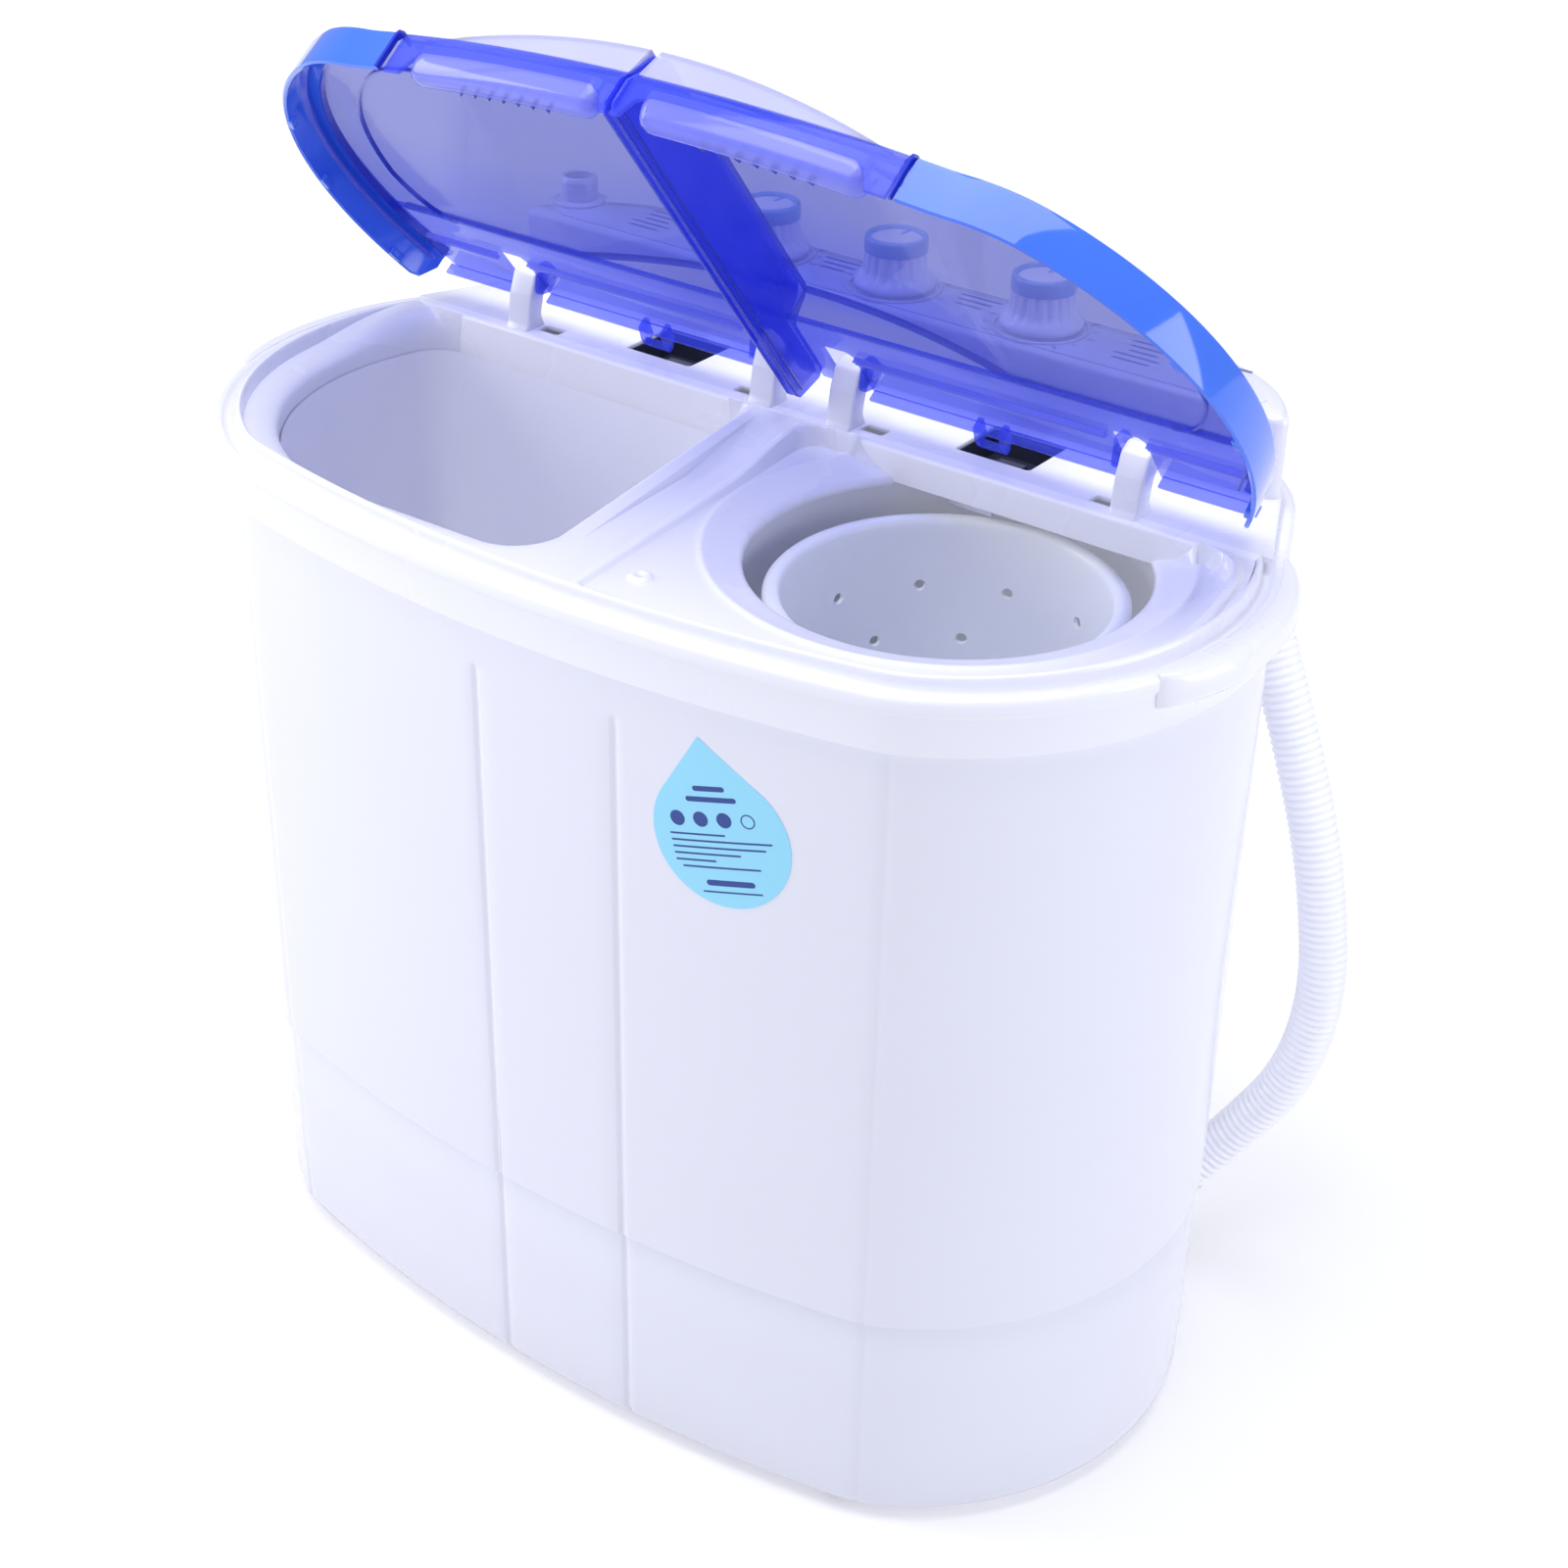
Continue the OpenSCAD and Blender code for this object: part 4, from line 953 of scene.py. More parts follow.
def skirt_section(bottom):
    return [(0.0, bottom + 0.8), (0.0, 521.2), (0.8, 523.8), (3.0, LID_Z1 + LID_T), (10.2, LID_Z1 + LID_T),
            (10.8, 524.2), (10.2, LID_Z1), (4.6, LID_Z1), (3.0, 521.6), (2.4, 519.6), (2.4, bottom + 0.8),
            (1.2, bottom)]


def skirt_run(x0, x1, section_at):
    """The skirt between two places along the lid's edge."""
    path = lid_path(0, HALF_GAP, SKIRT_BACK)
    keep = [i for i, p in enumerate(path) if x0 <= p.x <= x1 or (p.y > 0 and x1 > 250)]
    rings = []
    for i in keep:
        p = path[i]
        inset = front_inset(p.x) if p.y < 0 else 0.0
        rings.append(moved_in(p, outward(path, i), [(e + inset, z) for e, z in section_at(p)]))
    return rings


def lid_skirt(side):
    def end_section(p):
        rise = 0.0
        if p.y > SKIRT_BACK - 12:
            t = (p.y - (SKIRT_BACK - 12)) / 12
            rise = 12 * (1 - math.sqrt(max(0.0, 1 - t * t)))
        return skirt_section(LID_Z0 + rise)

    def front_section(p):
        lift = 12.0 * float(smooth((p.x - 6) / 6) * (1 - smooth((p.x - 128) / 6)))
        return skirt_section(LID_Z0 + lift)

    lid_piece(side, "end_skirt", loft(skirt_run(EDGE_X, 400, end_section), caps=True), BLUE_SKIRT,
              nodes=("frame",), sharp=40)
    lid_piece(side, "front_skirt", loft(skirt_run(0, EDGE_X - 0.5, front_section), caps=True), BLUE, sharp=40)
    # dark edge where the opaque end starts
    x = EDGE_X - 1.0
    y = bow_y(x, LID_IN)
    section = ((-0.1, LID_Z0 - 0.1), (-0.1, 521.6), (0.9, 524.2), (3, 525.2), (9, 525.2), (9, 522),
               (4, 521.6),
               (2.8, 519), (2.8, LID_Z0 - 0.1))
    rings = [[(x + dx, y + e, z) for e, z in section] for dx in (0.0, 1.6)]
    lid_piece(side, "skirt_step", loft(rings, caps=True), BLUE_EDGE, sharp=40)


def lid_handle(side):
    """The grip under the front edge: a clear bar of hooked section with teeth along its inner edge."""
    x0, x1 = 13.0, 131.0
    full = [(3.0, 518.5), (2.9, 513), (3.1, 507), (4.6, 503.6), (7.5, 501.9), (12, 502.0), (15.6, 503.8),
            (16.8, 507), (16.6, 511), (15.2, 513), (13.9, 511), (13.9, 507.5), (11.8, 505.4), (8.2, 505.2),
            (6.2, 506.8), (5.4, 510), (5.4, 518.5)]
    middle_e, top_z, steps = 9.5, 518.5, 40
    rings = []
    for i in range(steps + 1):
        x = x0 + (x1 - x0) * i / steps
        edge = min(x - x0, x1 - x)
        grow = math.sqrt(max(0.0, 1 - max(0.0, 1 - edge / 7.0) ** 2)) * 0.35 + 0.65
        rings.append([(x, bow_y(x, LID_IN + (middle_e + (e - middle_e) * grow)), top_z + (z - top_z) * grow)
                      for e, z in full])
    # The grip's light blue is partly a painted highlight.
    lid_piece(side, "grip", loft(rings, caps=True), GRIP_HIGHLIGHT, nodes=("handle",), sharp=45)
    teeth = Shape()
    for i in range(7):
        x = 42 + 9.5 * i
        y = bow_y(x, LID_IN + 16.4)
        tooth = rounded([(x, y - 0.5, 0.6), (x + 2.8, y - 0.5, 0.6), (x + 5.6, y + 2.6, 1.2),
                         (x + 3.0, y + 2.6, 1.2)])
        teeth.join(prism(tooth, 504.2, 512.5, place=upright))
    lid_piece(side, "grip_teeth", teeth, BLUE_EDGE, bevel=0.4)


def lid_inner_wall(side):
    """The deep wall along the lid's inner edge, with thick dark lower and upper edges."""
    outline = rounded([(-161.5, 502, 1.5), (-165.6, 506, 2), (-165.6, 519, 3), (-161, 526, 4),
                       (-154, 540.5, 4),
                       (-149, 543.2, 4), (24, 543.4, 3), (29, 539, 3), (33, 525.2, 4), (73, 525.2, 2),
                       (75.5, 520, 2), (70, 503.5, 1.5), (66, 501.8, 1)], 4)
    lid_piece(side, "inner_wall", prism(outline, HALF_GAP, HALF_GAP + 1.7), BLUE_WALL, bevel=0.5)
    bars = Shape()
    for z in (502.2, 506.4):
        bars.join(prism([(-160, z), (67, z), (67, z + 1.1), (-160, z + 1.1)], HALF_GAP + 1.2, HALF_GAP + 2.4))
    lid_piece(side, "wall_ribs", bars, BLUE_EDGE, bevel=0.3)


def arch_z(x, drop=0.0):
    """Height of the lid's top: an arch in the middle that eases into a flat at either end."""
    r = ARCH_R - drop
    arch = LID_Z1 + ARCH_H - ARCH_R + math.sqrt(max(r * r - x * x, 0.0))
    flat = LID_Z1 + 2 * LID_T - drop
    ease = 2.0
    over = (arch - flat) / ease
    return flat + ease * (math.log1p(math.exp(min(over, 40.0))) - math.log(2) * math.exp(-abs(over)))


def lid_window(side):
    """The clear dome and its leaning front wall."""
    path = lid_path(WINDOW_IN, GLASS_EDGE, WINDOW_BACK)
    low = path[0].x
    outline = path + [Vector((x, WINDOW_BACK)) for x in np.linspace(path[-1].x, low, 24)[1:]]
    outline += [Vector((low, y)) for y in np.linspace(WINDOW_BACK, path[0].y, 16)[1:-1]]
    grid = grid_in(outline, np.arange(8, 262, 9.0), np.arange(-158, 26, 9.0), 3)
    flat, faces = fill([outline], extra=grid)

    def top(p, drop):
        near = max(0.0, 1 - float(distance([tuple(p)], outline)[0]) / 4.0)
        return (p[0], p[1], max(arch_z(p[0], drop) - 1.6 * near**2, LID_Z1 + LID_T - drop))

    shape = Shape([top(p, 0.0) for p in flat], faces)
    shape.add([top(p, 2.0) for p in flat], [face[::-1] for face in faces])
    shape.join(loft([[top(p, drop) for p in outline] for drop in (0.0, 2.0)]))
    lid_piece(side, "dome", shape, WINDOW, nodes=("window",), sharp=50)
    # front wall between the skirt's flange and the dome, pale with its own clear tint plus a painted sheen
    foot_z = LID_Z1 + LID_T
    rings = []
    top_path = [p for p in path if p.y < 10]
    for i, p in enumerate(top_path):
        height = top(p, 0.0)[2]
        rings.append(moved_in(p, outward(top_path, i), (
            (-5.2, foot_z), (-0.6, max(height - 0.4, foot_z + 0.2)), (0.6, height - 1.0), (-3.2, foot_z))))
    lid_piece(side, "dome_front", loft(rings, caps=True), WINDOW_FRONT_SHEEN, sharp=45)
    back = [(x, arch_z(x, 0.4)) for x in np.linspace(low, 262, 40)]
    low_line = [(x, LID_Z1 + 1) for x, _ in back[::-1]]
    lid_piece(side, "dome_back", prism(back + low_line, WINDOW_BACK - 1.8, WINDOW_BACK,
                                       place=lambda p, t: (p[0], t, p[1])), WINDOW, sharp=45)


def lid_band(side):
    """The band along the back with its post notches, ribs and rear lip."""
    end = [p for p in plan_half(LID_IN + 2.6) if WINDOW_BACK - 4 < p.y < BAND_BACK - 3]
    x_front = end[0].x
    outline = [Vector((GLASS_EDGE, WINDOW_BACK - 4)), Vector((x_front, WINDOW_BACK - 4))] + end
    outline += [Vector((end[-1].x - 3, BAND_BACK))]
    for x in (POSTS[3], POSTS[2]):
        notch = ((9.5, BAND_BACK), (9.5, 47), (6.5, 44), (-6.5, 44), (-9.5, 47), (-9.5, BAND_BACK))
        outline += [Vector((x + dx, y)) for dx, y in notch]
    outline += [Vector((GLASS_EDGE, BAND_BACK))]
    lid_piece(side, "band", plate([outline], LID_Z1, LID_Z1 + LID_T), BLUE, bevel=0.5)
    # The ribs' lighter blue is painted glint.
    ribs = Shape()
    for y, z0 in ((46.0, 519.6), (49.2, 520.4)):
        for x0, x1 in ((36, 182), (205, 262)):
            ribs.join(box_shape((x0, y, z0), (x1, y + 1.1, LID_Z1 + 0.3)))
    lid_piece(side, "band_ribs", ribs, RIB_GLINT, bevel=0.3)
    lip = Shape()
    for x0, x1 in ((36, 183), (205, 258)):
        lip.join(box_shape((x0, BAND_BACK - 2, 516.5), (x1, BAND_BACK, LID_Z1 + 0.3)))
    lid_piece(side, "band_lip", lip, BLUE, bevel=0.5)


def lid_oval(side):
    """A dark raised line under the dome, round the end and along the back."""
    front = [p for p in plan_half(46) if 8 < p.x and p.y < -8]
    end_x = END_C.x + END_R - 52
    points = [Vector((8, bow_y(8, 46)))] + front
    a, b = points[-1], Vector((end_x - 20, 27))
    for i in range(1, 13):
        t = i / 12
        c1, c2 = Vector((end_x + 2, 12)), Vector((end_x - 6, 27))
        points.append(a * (1 - t) ** 3 + c1 * 3 * t * (1 - t) ** 2 + c2 * 3 * t * t * (1 - t) + b * t**3)
    rings = []
    section = ((0.7, 0.2), (-0.7, 0.2), (-0.55, -2.0), (0.55, -2.0))
    for i, p in enumerate(points):
        z = max(arch_z(p.x, 2.0), LID_Z1 + 1.0)
        rings.append(moved_in(p, outward(points, i), raised(section, z)))
    lid_piece(side, "window_line", loft(rings, caps=True), BLUE_EDGE, sharp=40)


def lid_end_rib(side):
    """A rib and a dark line along the inside of the end skirt, and three clips on its lower edge."""
    path = lid_path(3.2, HALF_GAP, SKIRT_BACK - 6)
    keep = [i for i, p in enumerate(path) if p.x > 205 or p.y > 0]
    # The rib's lighter blue is painted glint.
    for part, material, section in (
        ("end_rib", RIB_GLINT, ((-1.2, 517.6), (2.2, 517.2), (2.2, 515.9), (-1.2, 515.6))),
        ("end_wall", BLUE_EDGE, ((8.5, 522.8), (9.7, 522.8), (9.7, 518.8), (8.5, 518.8))),
    ):
        rings = [moved_in(path[i], outward(path, i), section) for i in keep]
        lid_piece(side, part, loft(rings, caps=True), material, sharp=40)
    clips = Shape()
    whole = lid_path(0, HALF_GAP, SKIRT_BACK)
    ends = [i for i, p in enumerate(whole) if p.y > -110 and p.x > 200]
    for share in (0.2, 0.52, 0.86):
        i = ends[int(share * (len(ends) - 1))]
        p, out = whole[i], outward(whole, i)
        along = Vector((-out.y, out.x))
        corners = [p + along * a - out * e for a, e in ((-4, 1.0), (4, 1.0), (4, 4.6), (-4, 4.6))]
        clips.join(prism(corners, LID_Z0 + 0.2, LID_Z0 + 5, place=upright))
    lid_piece(side, "clips", clips, BLUE_SKIRT, bevel=0.6)


def lid_ears(side):
    """The plates that carry the hinge pins, with the pins' pale ends."""
    plates, pins = Shape(), Shape()
    outline = rounded([(HINGE_Y - 13, HINGE_Z - 1, 2), (HINGE_Y - 1, HINGE_Z - 12, 2.5),
                       (HINGE_Y + 8, HINGE_Z - 2, 3), (HINGE_Y + 3, HINGE_Z + 7.5, 3.5),
                       (HINGE_Y - 9, HINGE_Z + 6, 3)])
    pin = ((0, 2.9), (2.4, 2.7), (3.0, 2.0), (3.0, -10), (0, -10))
    for post, ear in ((POSTS[2], 1), (POSTS[3], -1)):
        x = post + ear * (POST_HALF + 0.4 + 2)
        plates.join(prism(outline, x - 1.6, x + 1.6))
        pins.join(loft([[(x + ear * along, *p) for p in circle((HINGE_Y, HINGE_Z), radius, 28)]
                        for radius, along in pin]))
    lid_piece(side, "ears", plates, BLUE, bevel=0.5)
    lid_piece(side, "pins", pins, DECK_WHITE, slot="blue_clear", sharp=40)


def lid_fork(side):
    """Two prongs on the band's rear edge that press the switch when the lid is shut."""
    fork = Shape()
    x = SWITCHES[1]
    for dx in (-9.0, 6.0):
        fork.join(prism(rounded([(BAND_BACK - 3, LID_Z1 + LID_T, 1), (BAND_BACK + 8, LID_Z1 + LID_T - 3, 2),
                                 (BAND_BACK + 10, LID_Z1 - 8, 1.5), (BAND_BACK + 5, LID_Z1 - 8, 1.5),
                                 (BAND_BACK - 3, LID_Z1 - 5, 1)]), x + dx, x + dx + 3))
    fork.join(box_shape((x - 9, BAND_BACK + 7.4, LID_Z1 - 8), (x + 9, BAND_BACK + 10.2, LID_Z1 - 4)))
    lid_piece(side, "fork", fork, BLUE, bevel=0.5)


for side in (-1, 1):
    for make in (lid_skirt, lid_handle, lid_inner_wall, lid_window, lid_band, lid_oval, lid_end_rib, lid_ears,
                 lid_fork):
        make(side)


# ---------------------------------------------------------------- console and knobs

def offset(points, e):
    """A closed anticlockwise outline moved in by e."""
    moved = []
    for i, p in enumerate(points):
        a, b = points[i - 1], points[(i + 1) % len(points)]
        d = (b - a).normalized()
        moved.append(p + Vector((-d.y, d.x)) * e)
    return moved


def console_outline(inset, front, corner):
    """The console's plan: the body's back corners, cut by a straight front with rounded corners."""
    half = [p for p in plan_half(inset) if p.y > front + corner]
    edge_x = CORNER_C.x + math.sqrt((CORNER_R - inset) ** 2 - (front + corner - CORNER_C.y) ** 2)
    right = arc((edge_x - corner, front + corner), corner, -90, 0, 8) + half
    left = mirrored(right[::-1])
    middle = [Vector((x, front)) for x in np.linspace(left[-1].x, right[0].x, 20)[1:-1]]
    return right + left[1:] + middle


INLET_X = -225
DIAL_R = 31                         # reach of the dial marks from a knob's axis


def console():
    outline = console_outline(9, 115, 6)
    rings = [[(p.x, p.y, z) for p in offset(outline, e)]
             for e, z in ((0, REAR_Z), (0, 520), (0, 538.6), (0.5, 540.6), (1.7, 542.2), (3.6, CONSOLE_Z))]
    shape = loft(rings)
    shape.cap([offset(outline, 3.6)], CONSOLE_Z)
    mesh_piece("console", shape, WHITE, replaces=("console_housing",), sharp=40)
    for node, x in KNOBS.items():
        ring = [(24, CONSOLE_Z), (24, 544.1), (24.4, 544.6), (25.2, 544.6), (25.6, 544.1), (25.6, CONSOLE_Z)]
        mesh_piece(f"{node}_ring", lathe(ring, (x, KNOB_Y), count=72), WHITE, sharp=60)
    film = console_outline(19, 119, 12)
    holes = [circle((x, KNOB_Y), 26.4, 48) for x in KNOBS.values()] + [circle((INLET_X, KNOB_Y), 17, 40)]
    mesh_piece("console_film", plate([film] + holes, CONSOLE_Z, CONSOLE_Z + 0.55), PANEL,
               replaces=("console_fascia",), bevel=0.2)
    ink = Shape()
    level = (CONSOLE_Z + 0.5, CONSOLE_Z + 0.68)

    def dash(x, y, length, width, turn=0.0):
        c, q = math.cos(turn), math.sin(turn)
        corners = [(a * length / 2, b * width / 2) for a, b in ((-1, -1), (1, -1), (1, 1), (-1, 1))]
        ink.join(prism([(x + a * c - b * q, y + a * q + b * c) for a, b in corners], *level, place=upright))

    for node, x in KNOBS.items():
        steps = 5 if node == "selector_knob" else 13
        for i in range(steps):
            turn = math.radians(90 + (i - (steps - 1) / 2) * (45 if steps == 5 else 22.5))
            length = 2.6 if i % 2 else 4.0
            if abs(math.sin(turn)) * DIAL_R > 23:
                length = 1.8
            radius = 27.6 + length / 2
            if 121 < KNOB_Y + radius * math.sin(turn) < 169:
                dash(x + radius * math.cos(turn), KNOB_Y + radius * math.sin(turn), length, 0.8, turn)
    for x, rows in ((-168, 5), (-46, 3), (42, 3), (148, 5), (190, 3)):
        for row in range(rows):
            dash(x, 158 - 6.5 * row, 26 - 5 * (row % 3), 1.5)
    mesh_piece("console_marks", ink, PANEL_INK)


def knob(node, x):
    z0 = CONSOLE_Z + 2.2
    centre = (x, KNOB_Y)
    section = [(0, 0.2, 0), (19.8, 0.1, 0), (21.4, 0.2, 0), (22, 1.0, 0), (21.9, 2.2, 0), (21.2, 3.8, 0.1),
               (19.8, 5.6, 0.5), (18.6, 7.2, 0.9), (17.8, 9.2, 1.0), (17.3, 12, 1.0), (17.0, 15, 1.0),
               (16.8, 17.6, 1.0), (16.6, 18.6, 0.5), (16.4, 19.0, 0.0), (15.6, 19.2, 0.0), (15.4, 21, 0)]
    count, ribs = 180, 18
    rings = []
    for radius, z, flute in section:
        ring = []
        for i in range(count):
            a = 2 * math.pi * i / count
            dip = 1.25 * flute * (0.5 - 0.5 * math.cos(ribs * a)) ** 2.2
            ring.append((x + (radius - dip) * math.cos(a), KNOB_Y + (radius - dip) * math.sin(a), z0 + z))
        rings.append(ring)
    shape = loft(rings)
    shape.join(lathe([(0, CONSOLE_Z - 20), (3, CONSOLE_Z - 20), (3, z0 + 0.4)], centre, count=24))
    mesh_piece(f"{node}_body", shape, KNOB_WHITE, body=node, replaces=(node,), sharp=45)
    band = ((15.2, 18.6), (16.9, 18.9), (17.1, 19.6), (17.0, 25.6), (16.5, 27.0), (15.4, 27.6), (14.3, 27.4),
            (13.8, 26.6), (13.7, 25.4))
    top = ((0, 26.3), (6, 26.25), (11, 26.0), (13.3, 25.6), (13.9, 25.0))
    for part, section, material, count in (("band", band, KNOB_CAP, 96), ("top", top, KNOB_TOP, 72)):
        mesh_piece(f"{node}_{part}", lathe(raised(section, z0), centre, count=count), material, body=node,
                   sharp=60)
    pointer = rounded([(x - 0.9, KNOB_Y + 4, 0.4), (x + 0.9, KNOB_Y + 4, 0.4), (x + 0.9, KNOB_Y + 12.4, 0.8),
                       (x - 0.9, KNOB_Y + 12.4, 0.8)])
    mesh_piece(f"{node}_pointer", prism(pointer, z0 + 25.0, z0 + 26.8, place=upright), KNOB_CAP,
               body=node, bevel=0.3)


def water_inlet():
    section = ((8, 0), (8, 15.4), (8.6, 16), (9.6, 16), (10.3, 15.2), (11, 12.8), (10.2, 12.4), (11, 9.2),
               (10.2, 8.8), (11, 5.6), (10.6, 2.4), (14.4, 2), (15, 1.4), (15, 0))
    shape = lathe(raised(section, CONSOLE_Z), (INLET_X, KNOB_Y), count=64)
    mesh_piece("inlet_spigot", shape, WHITE, replaces=("water_inlet",), sharp=35)


def feet():
    section = [(0, 2), (6, 2), (6, 0.3), (6.6, 0), (14.4, 0), (15.6, 0.7), (16, 2.2), (15.6, 4.6), (14.6, 6),
               (0, 6)]
    for i, (x, y) in enumerate(((-190, -105), (190, -105), (-190, 115), (190, 115))):
        mesh_piece(f"rubber_foot_{i + 1}", lathe(section, (x, y), count=48), RUBBER,
                   replaces=(f"foot_{i + 1}",), sharp=40)


# ---------------------------------------------------------------- label

LABEL_AT = (122, 397)
INK_OUT = 0.42


def on_bow(u, v, out):
    """A point on the front: u to the right and v up from the label's middle, out proud of the cabinet."""
    a = math.radians(14)
    x = LABEL_AT[0] + u * math.cos(a) - v * math.sin(a)
    z = LABEL_AT[1] + u * math.sin(a) + v * math.cos(a)
    return (x, bow_y(x, CABINET_IN) - out, z)


def film(loops, out):
    """A thin printed shape that lies on the curved front: the first loop less the others."""
    step = 6.0
    across, up = ([p[k] for p in loops[0]] for k in (0, 1))
    grid = []
    if max(across) - min(across) > 2 * step:
        grid = grid_in(loops[0], np.arange(min(across), max(across), step), np.arange(min(up), max(up), step),
                       1.5)
    flat, faces = fill(loops, extra=grid)
    shape = Shape([on_bow(p.x, p.y, out) for p in flat], faces)
    for loop in loops:
        shape.join(loft([[on_bow(p[0], p[1], height) for p in loop] for height in (out, 0.02)]))
    return shape


def label():
    radius, tip = 36, 52
    side = math.degrees(math.acos(radius / tip))
    drop = [Vector((0, tip))] + arc((0, 0), radius, 90 + side, 450 - side, 60)
    mesh_piece("droplet_film", film([drop], 0.32), LABEL, replaces=("droplet_label",), sharp=40)
    ink = Shape()

    def bar(u0, v0, length, width):
        """A round-ended bar with enough points to follow the bow."""
        end = width / 2
        steps = max(2, int(length / 3))
        shares = [i / steps for i in range(1, steps)]
        outline = arc((u0 + end, v0 + end), end, 90, 270, 6)
        outline += [Vector((u0 + end + (length - width) * share, v0)) for share in shares]
        outline += arc((u0 + length - end, v0 + end), end, -90, 90, 6)
        outline += [Vector((u0 + end + (length - width) * (1 - share), v0 + width)) for share in shares]
        ink.join(film([outline], INK_OUT))

    for place in ((-9, 24.5, 17, 2.6), (-14, 19, 27, 2.6)):
        bar(*place)
    for i, radii in enumerate(((3.9,), (3.9,), (3.9,), (3.7, 3.1))):
        ink.join(film([circle((-21 + 12.6 * i, 10), radius, 28) for radius in radii], INK_OUT))
    for i, length in enumerate((30, 54, 50, 36, 22, 42)):
        bar(-27 + (0 if i < 5 else 3), 1.6 - 3.4 * i, length, 0.9)
    for place in ((-13, -24.5, 26, 3.0), (-16, -28.2, 32, 0.8)):
        bar(*place)
    mesh_piece("droplet_marks", ink, LABEL_INK)


# ---------------------------------------------------------------- hose and back

HOSE_R = 13.5
HOSE_POINTS = (
    (226, 146, 58), (238, 155, 74), (252, 163, 96), (266, 169, 121), (275, 172, 148), (279, 174, 176),
    (279, 175, 204), (275, 176, 232), (269, 177, 260), (261, 178, 288), (251, 179, 316), (240, 180, 344),
    (229, 180, 372), (218, 181, 398), (210, 182, 424), (206, 182, 448),
)


def smooth_route(points, step):
    """Even samples of a smooth curve through the points."""
    points = [np.array(p, float) for p in points]
    whole = [2 * points[0] - points[1]] + points + [2 * points[-1] - points[-2]]
    fine = []
    for a, b, c, d in zip(whole, whole[1:], whole[2:], whole[3:]):
        for t in np.linspace(0, 1, 24, endpoint=False):
            fine.append(0.5 * (2 * b + (c - a) * t + (2 * a - 5 * b + 4 * c - d) * t**2
                               + (3 * b - 3 * c + d - a) * t**3))
    fine.append(points[-1])
    fine = np.array(fine)
    run = np.concatenate([[0], np.cumsum(np.linalg.norm(np.diff(fine, axis=0), axis=1))])
    count = int(round(run[-1] / step))
    at = np.linspace(0, run[-1], count + 1)
    return np.stack([np.interp(at, run, fine[:, k]) for k in range(3)], 1), run[-1]


def hose():
    pitch, per = 4.4, 8
    route, length = smooth_route(HOSE_POINTS, pitch / per)
    way = np.gradient(route, axis=0)
    way /= np.linalg.norm(way, axis=1)[:, None]
    side = np.cross((0.0, 1.0, 0.0), way)
    side /= np.linalg.norm(side, axis=1)[:, None]
    up = np.cross(way, side)
    rings = []
    for i, p in enumerate(route):
        wave = 0.5 + 0.5 * math.cos(2 * math.pi * i / per)
        radius = HOSE_R - 1.5 + 1.45 * wave**0.8
        rings.append([tuple(p + radius * (math.cos(a) * side[i] + math.sin(a) * up[i]))
                      for a in np.linspace(0, 2 * math.pi, 32, endpoint=False)])
    piece = mesh_piece("ribbed_hose", loft(rings, caps=True), HOSE, replaces=("drain_hose",), sharp=70,
                       weld=0.001)
    x, y, z = HOSE_POINTS[-1]
    cap = ((12.4, 0), (14.4, 0), (15, 0.7), (15, 12.6), (14.2, 14.8), (12, 16), (0, 16))
    shape = lathe(raised(cap, z), (x, y), count=56)
    clip = mesh_piece("hose_clip", shape, WHITE, replaces=("hose_holder",), sharp=40)
    mesh_piece("hose_clip_arm", box_shape((x - 14, 166.5, z + 4), (x - 2, 178, z + 16)), WHITE, bevel=1.6)


def back():
    """A dark sheet behind the service panel's louvres: painted shade for the dark space seen through them."""
    mesh_piece("louvre_shade", box_shape((-104, 172.9, 58), (104, 173.15, 106)), SHADE_DARK)


CARRIED = (                         # material, width of the softened edges, nodes
    (WHITE, 0.6, "back_panel"), (WHITE, 0.8, "drain_outlet"), (MANIFOLD, 1.0, "drain_valve"),
    (MANIFOLD, 0.5, "driven_pulley"), (MANIFOLD, 0, "drain_manifold"),
    (STEEL, 0.3, "brake_pivot pulsator_shaft"),
    (STEEL, 0.4, "back_panel_screws drain_plunger wash_bearing spin_bearing basket_shaft motor_pulley"),
    (STEEL, 0.5, "brake_lever pulsator_cap"), (STEEL, 0.6, "brake_drum"),
    (STEEL, 1.0, "wash_motor spin_motor"),
    (RUBBER, 0.5, "cord_gland spin_motor_mounts"), (RUBBER, 0, "drive_belt spin_bellows"),
    (ALUMINIUM, 0.8, "capacitor"), (TIMER, 0.8, "wash_timer drain_selector spin_timer"),
    # The switch boxes are dark as painted shade down the switch slots.
    (SHADE_DARK, 0.5, "wash_switch_box spin_switch_box"), (TUB, 1.2, "pulsator"),
)


def carry():
    """Finishes for the CAD pieces that are shown as they are."""
    for material, width, nodes in CARRIED:
        for piece in (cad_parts[node] for node in nodes.split()):
            piece.data.materials.clear()
            piece.data.materials.append(material)
            piece.modifiers.new("weld", "WELD").merge_threshold = 0.00002
            if width:
                edge = piece.modifiers.new("edge", "BEVEL")
                edge.width, edge.segments = width * MM, 3
                edge.limit_method, edge.angle_limit = "ANGLE", math.radians(35)


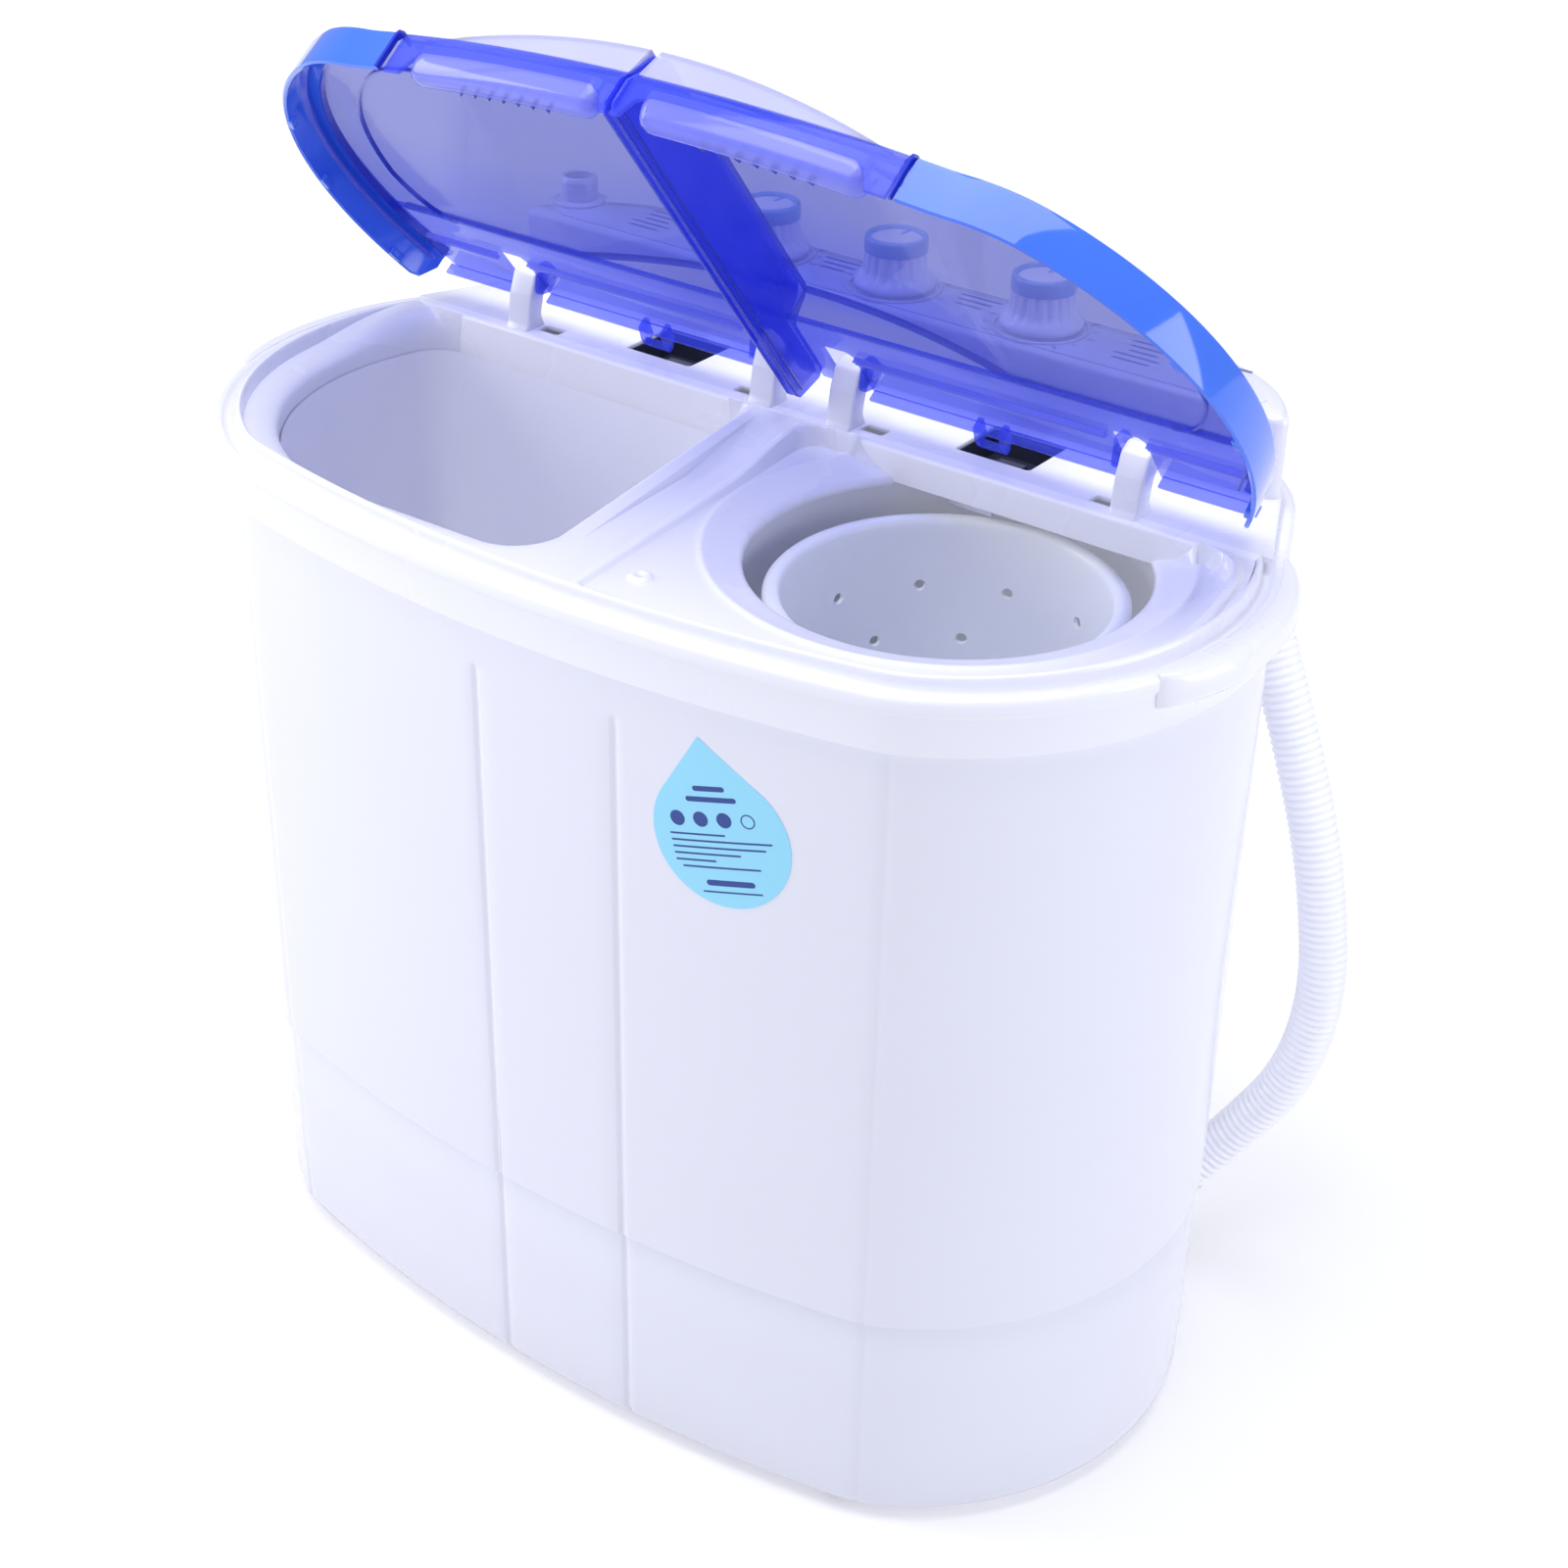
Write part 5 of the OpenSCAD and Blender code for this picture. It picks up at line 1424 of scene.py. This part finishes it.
console()
for node, x in KNOBS.items():
    knob(node, x)
water_inlet()
feet()
label()
hose()
back()
carry()


# ---------------------------------------------------------------- floor and light

LAMPS = (                           # name, place, aim, size, power, colour, casts shadows
    ("key", (-2.5, -1.0, 1.4), (0, 0, 0.25), (1.6, 1.6), 36, (1.0, 0.99, 1.0), True),
    ("right", (2.4, 0.6, 0.9), (0, 0, 0.25), (1.4, 1.2), 20, (0.96, 0.97, 1.0), True),
    ("top", (0.1, -0.05, 2.4), (0, 0, 0.4), (1.8, 1.6), 31, (0.97, 0.97, 1.0), True),
    ("fill", (-0.4, -1.3, 2.4), (0, 0, 0.4), (1.5, 1.5), 19, (0.96, 0.96, 1.0), False),
)


def studio():
    bpy.ops.mesh.primitive_plane_add(size=14, location=(0, 0, 0))
    floor = bpy.context.object
    floor.name = "floor"
    finish = Finish("floor")
    matt = finish.node("BsdfPrincipled", Base_Color=(0.82, 0.82, 0.82, 1), Roughness=0.9)
    away = finish.node("VectorMath", Vector=finish.node("NewGeometry").outputs["Position"])
    away.operation = "LENGTH"
    glow = finish.node("Emission", Strength=finish.ramp(away.outputs["Value"], 0.14, 0.62, 0.7, 3.0))
    both = finish.node("AddShader")
    finish.links.new(matt.outputs["BSDF"], both.inputs[0])
    finish.links.new(glow.outputs["Emission"], both.inputs[1])
    floor.data.materials.append(finish.done(both.outputs["Shader"]))
    scene.world = bpy.data.worlds.new("studio")
    scene.world.use_nodes = True
    back = scene.world.node_tree.nodes["Background"]
    back.inputs["Color"].default_value = (0.84, 0.86, 1.0, 1)
    back.inputs["Strength"].default_value = 0.43
    for name, place, aim, size, power, colour, shadows in LAMPS:
        data = bpy.data.lights.new(name, "AREA")
        data.shape = "RECTANGLE"
        data.size, data.size_y = size
        data.energy = power
        data.color = colour
        data.use_shadow = shadows
        lamp = bpy.data.objects.new(name, data)
        lamp.location = place
        lamp.rotation_euler = (Vector(aim) - Vector(place)).to_track_quat("-Z", "Y").to_euler()
        scene.collection.objects.link(lamp)
    scene.view_settings.view_transform = "Standard"


studio()
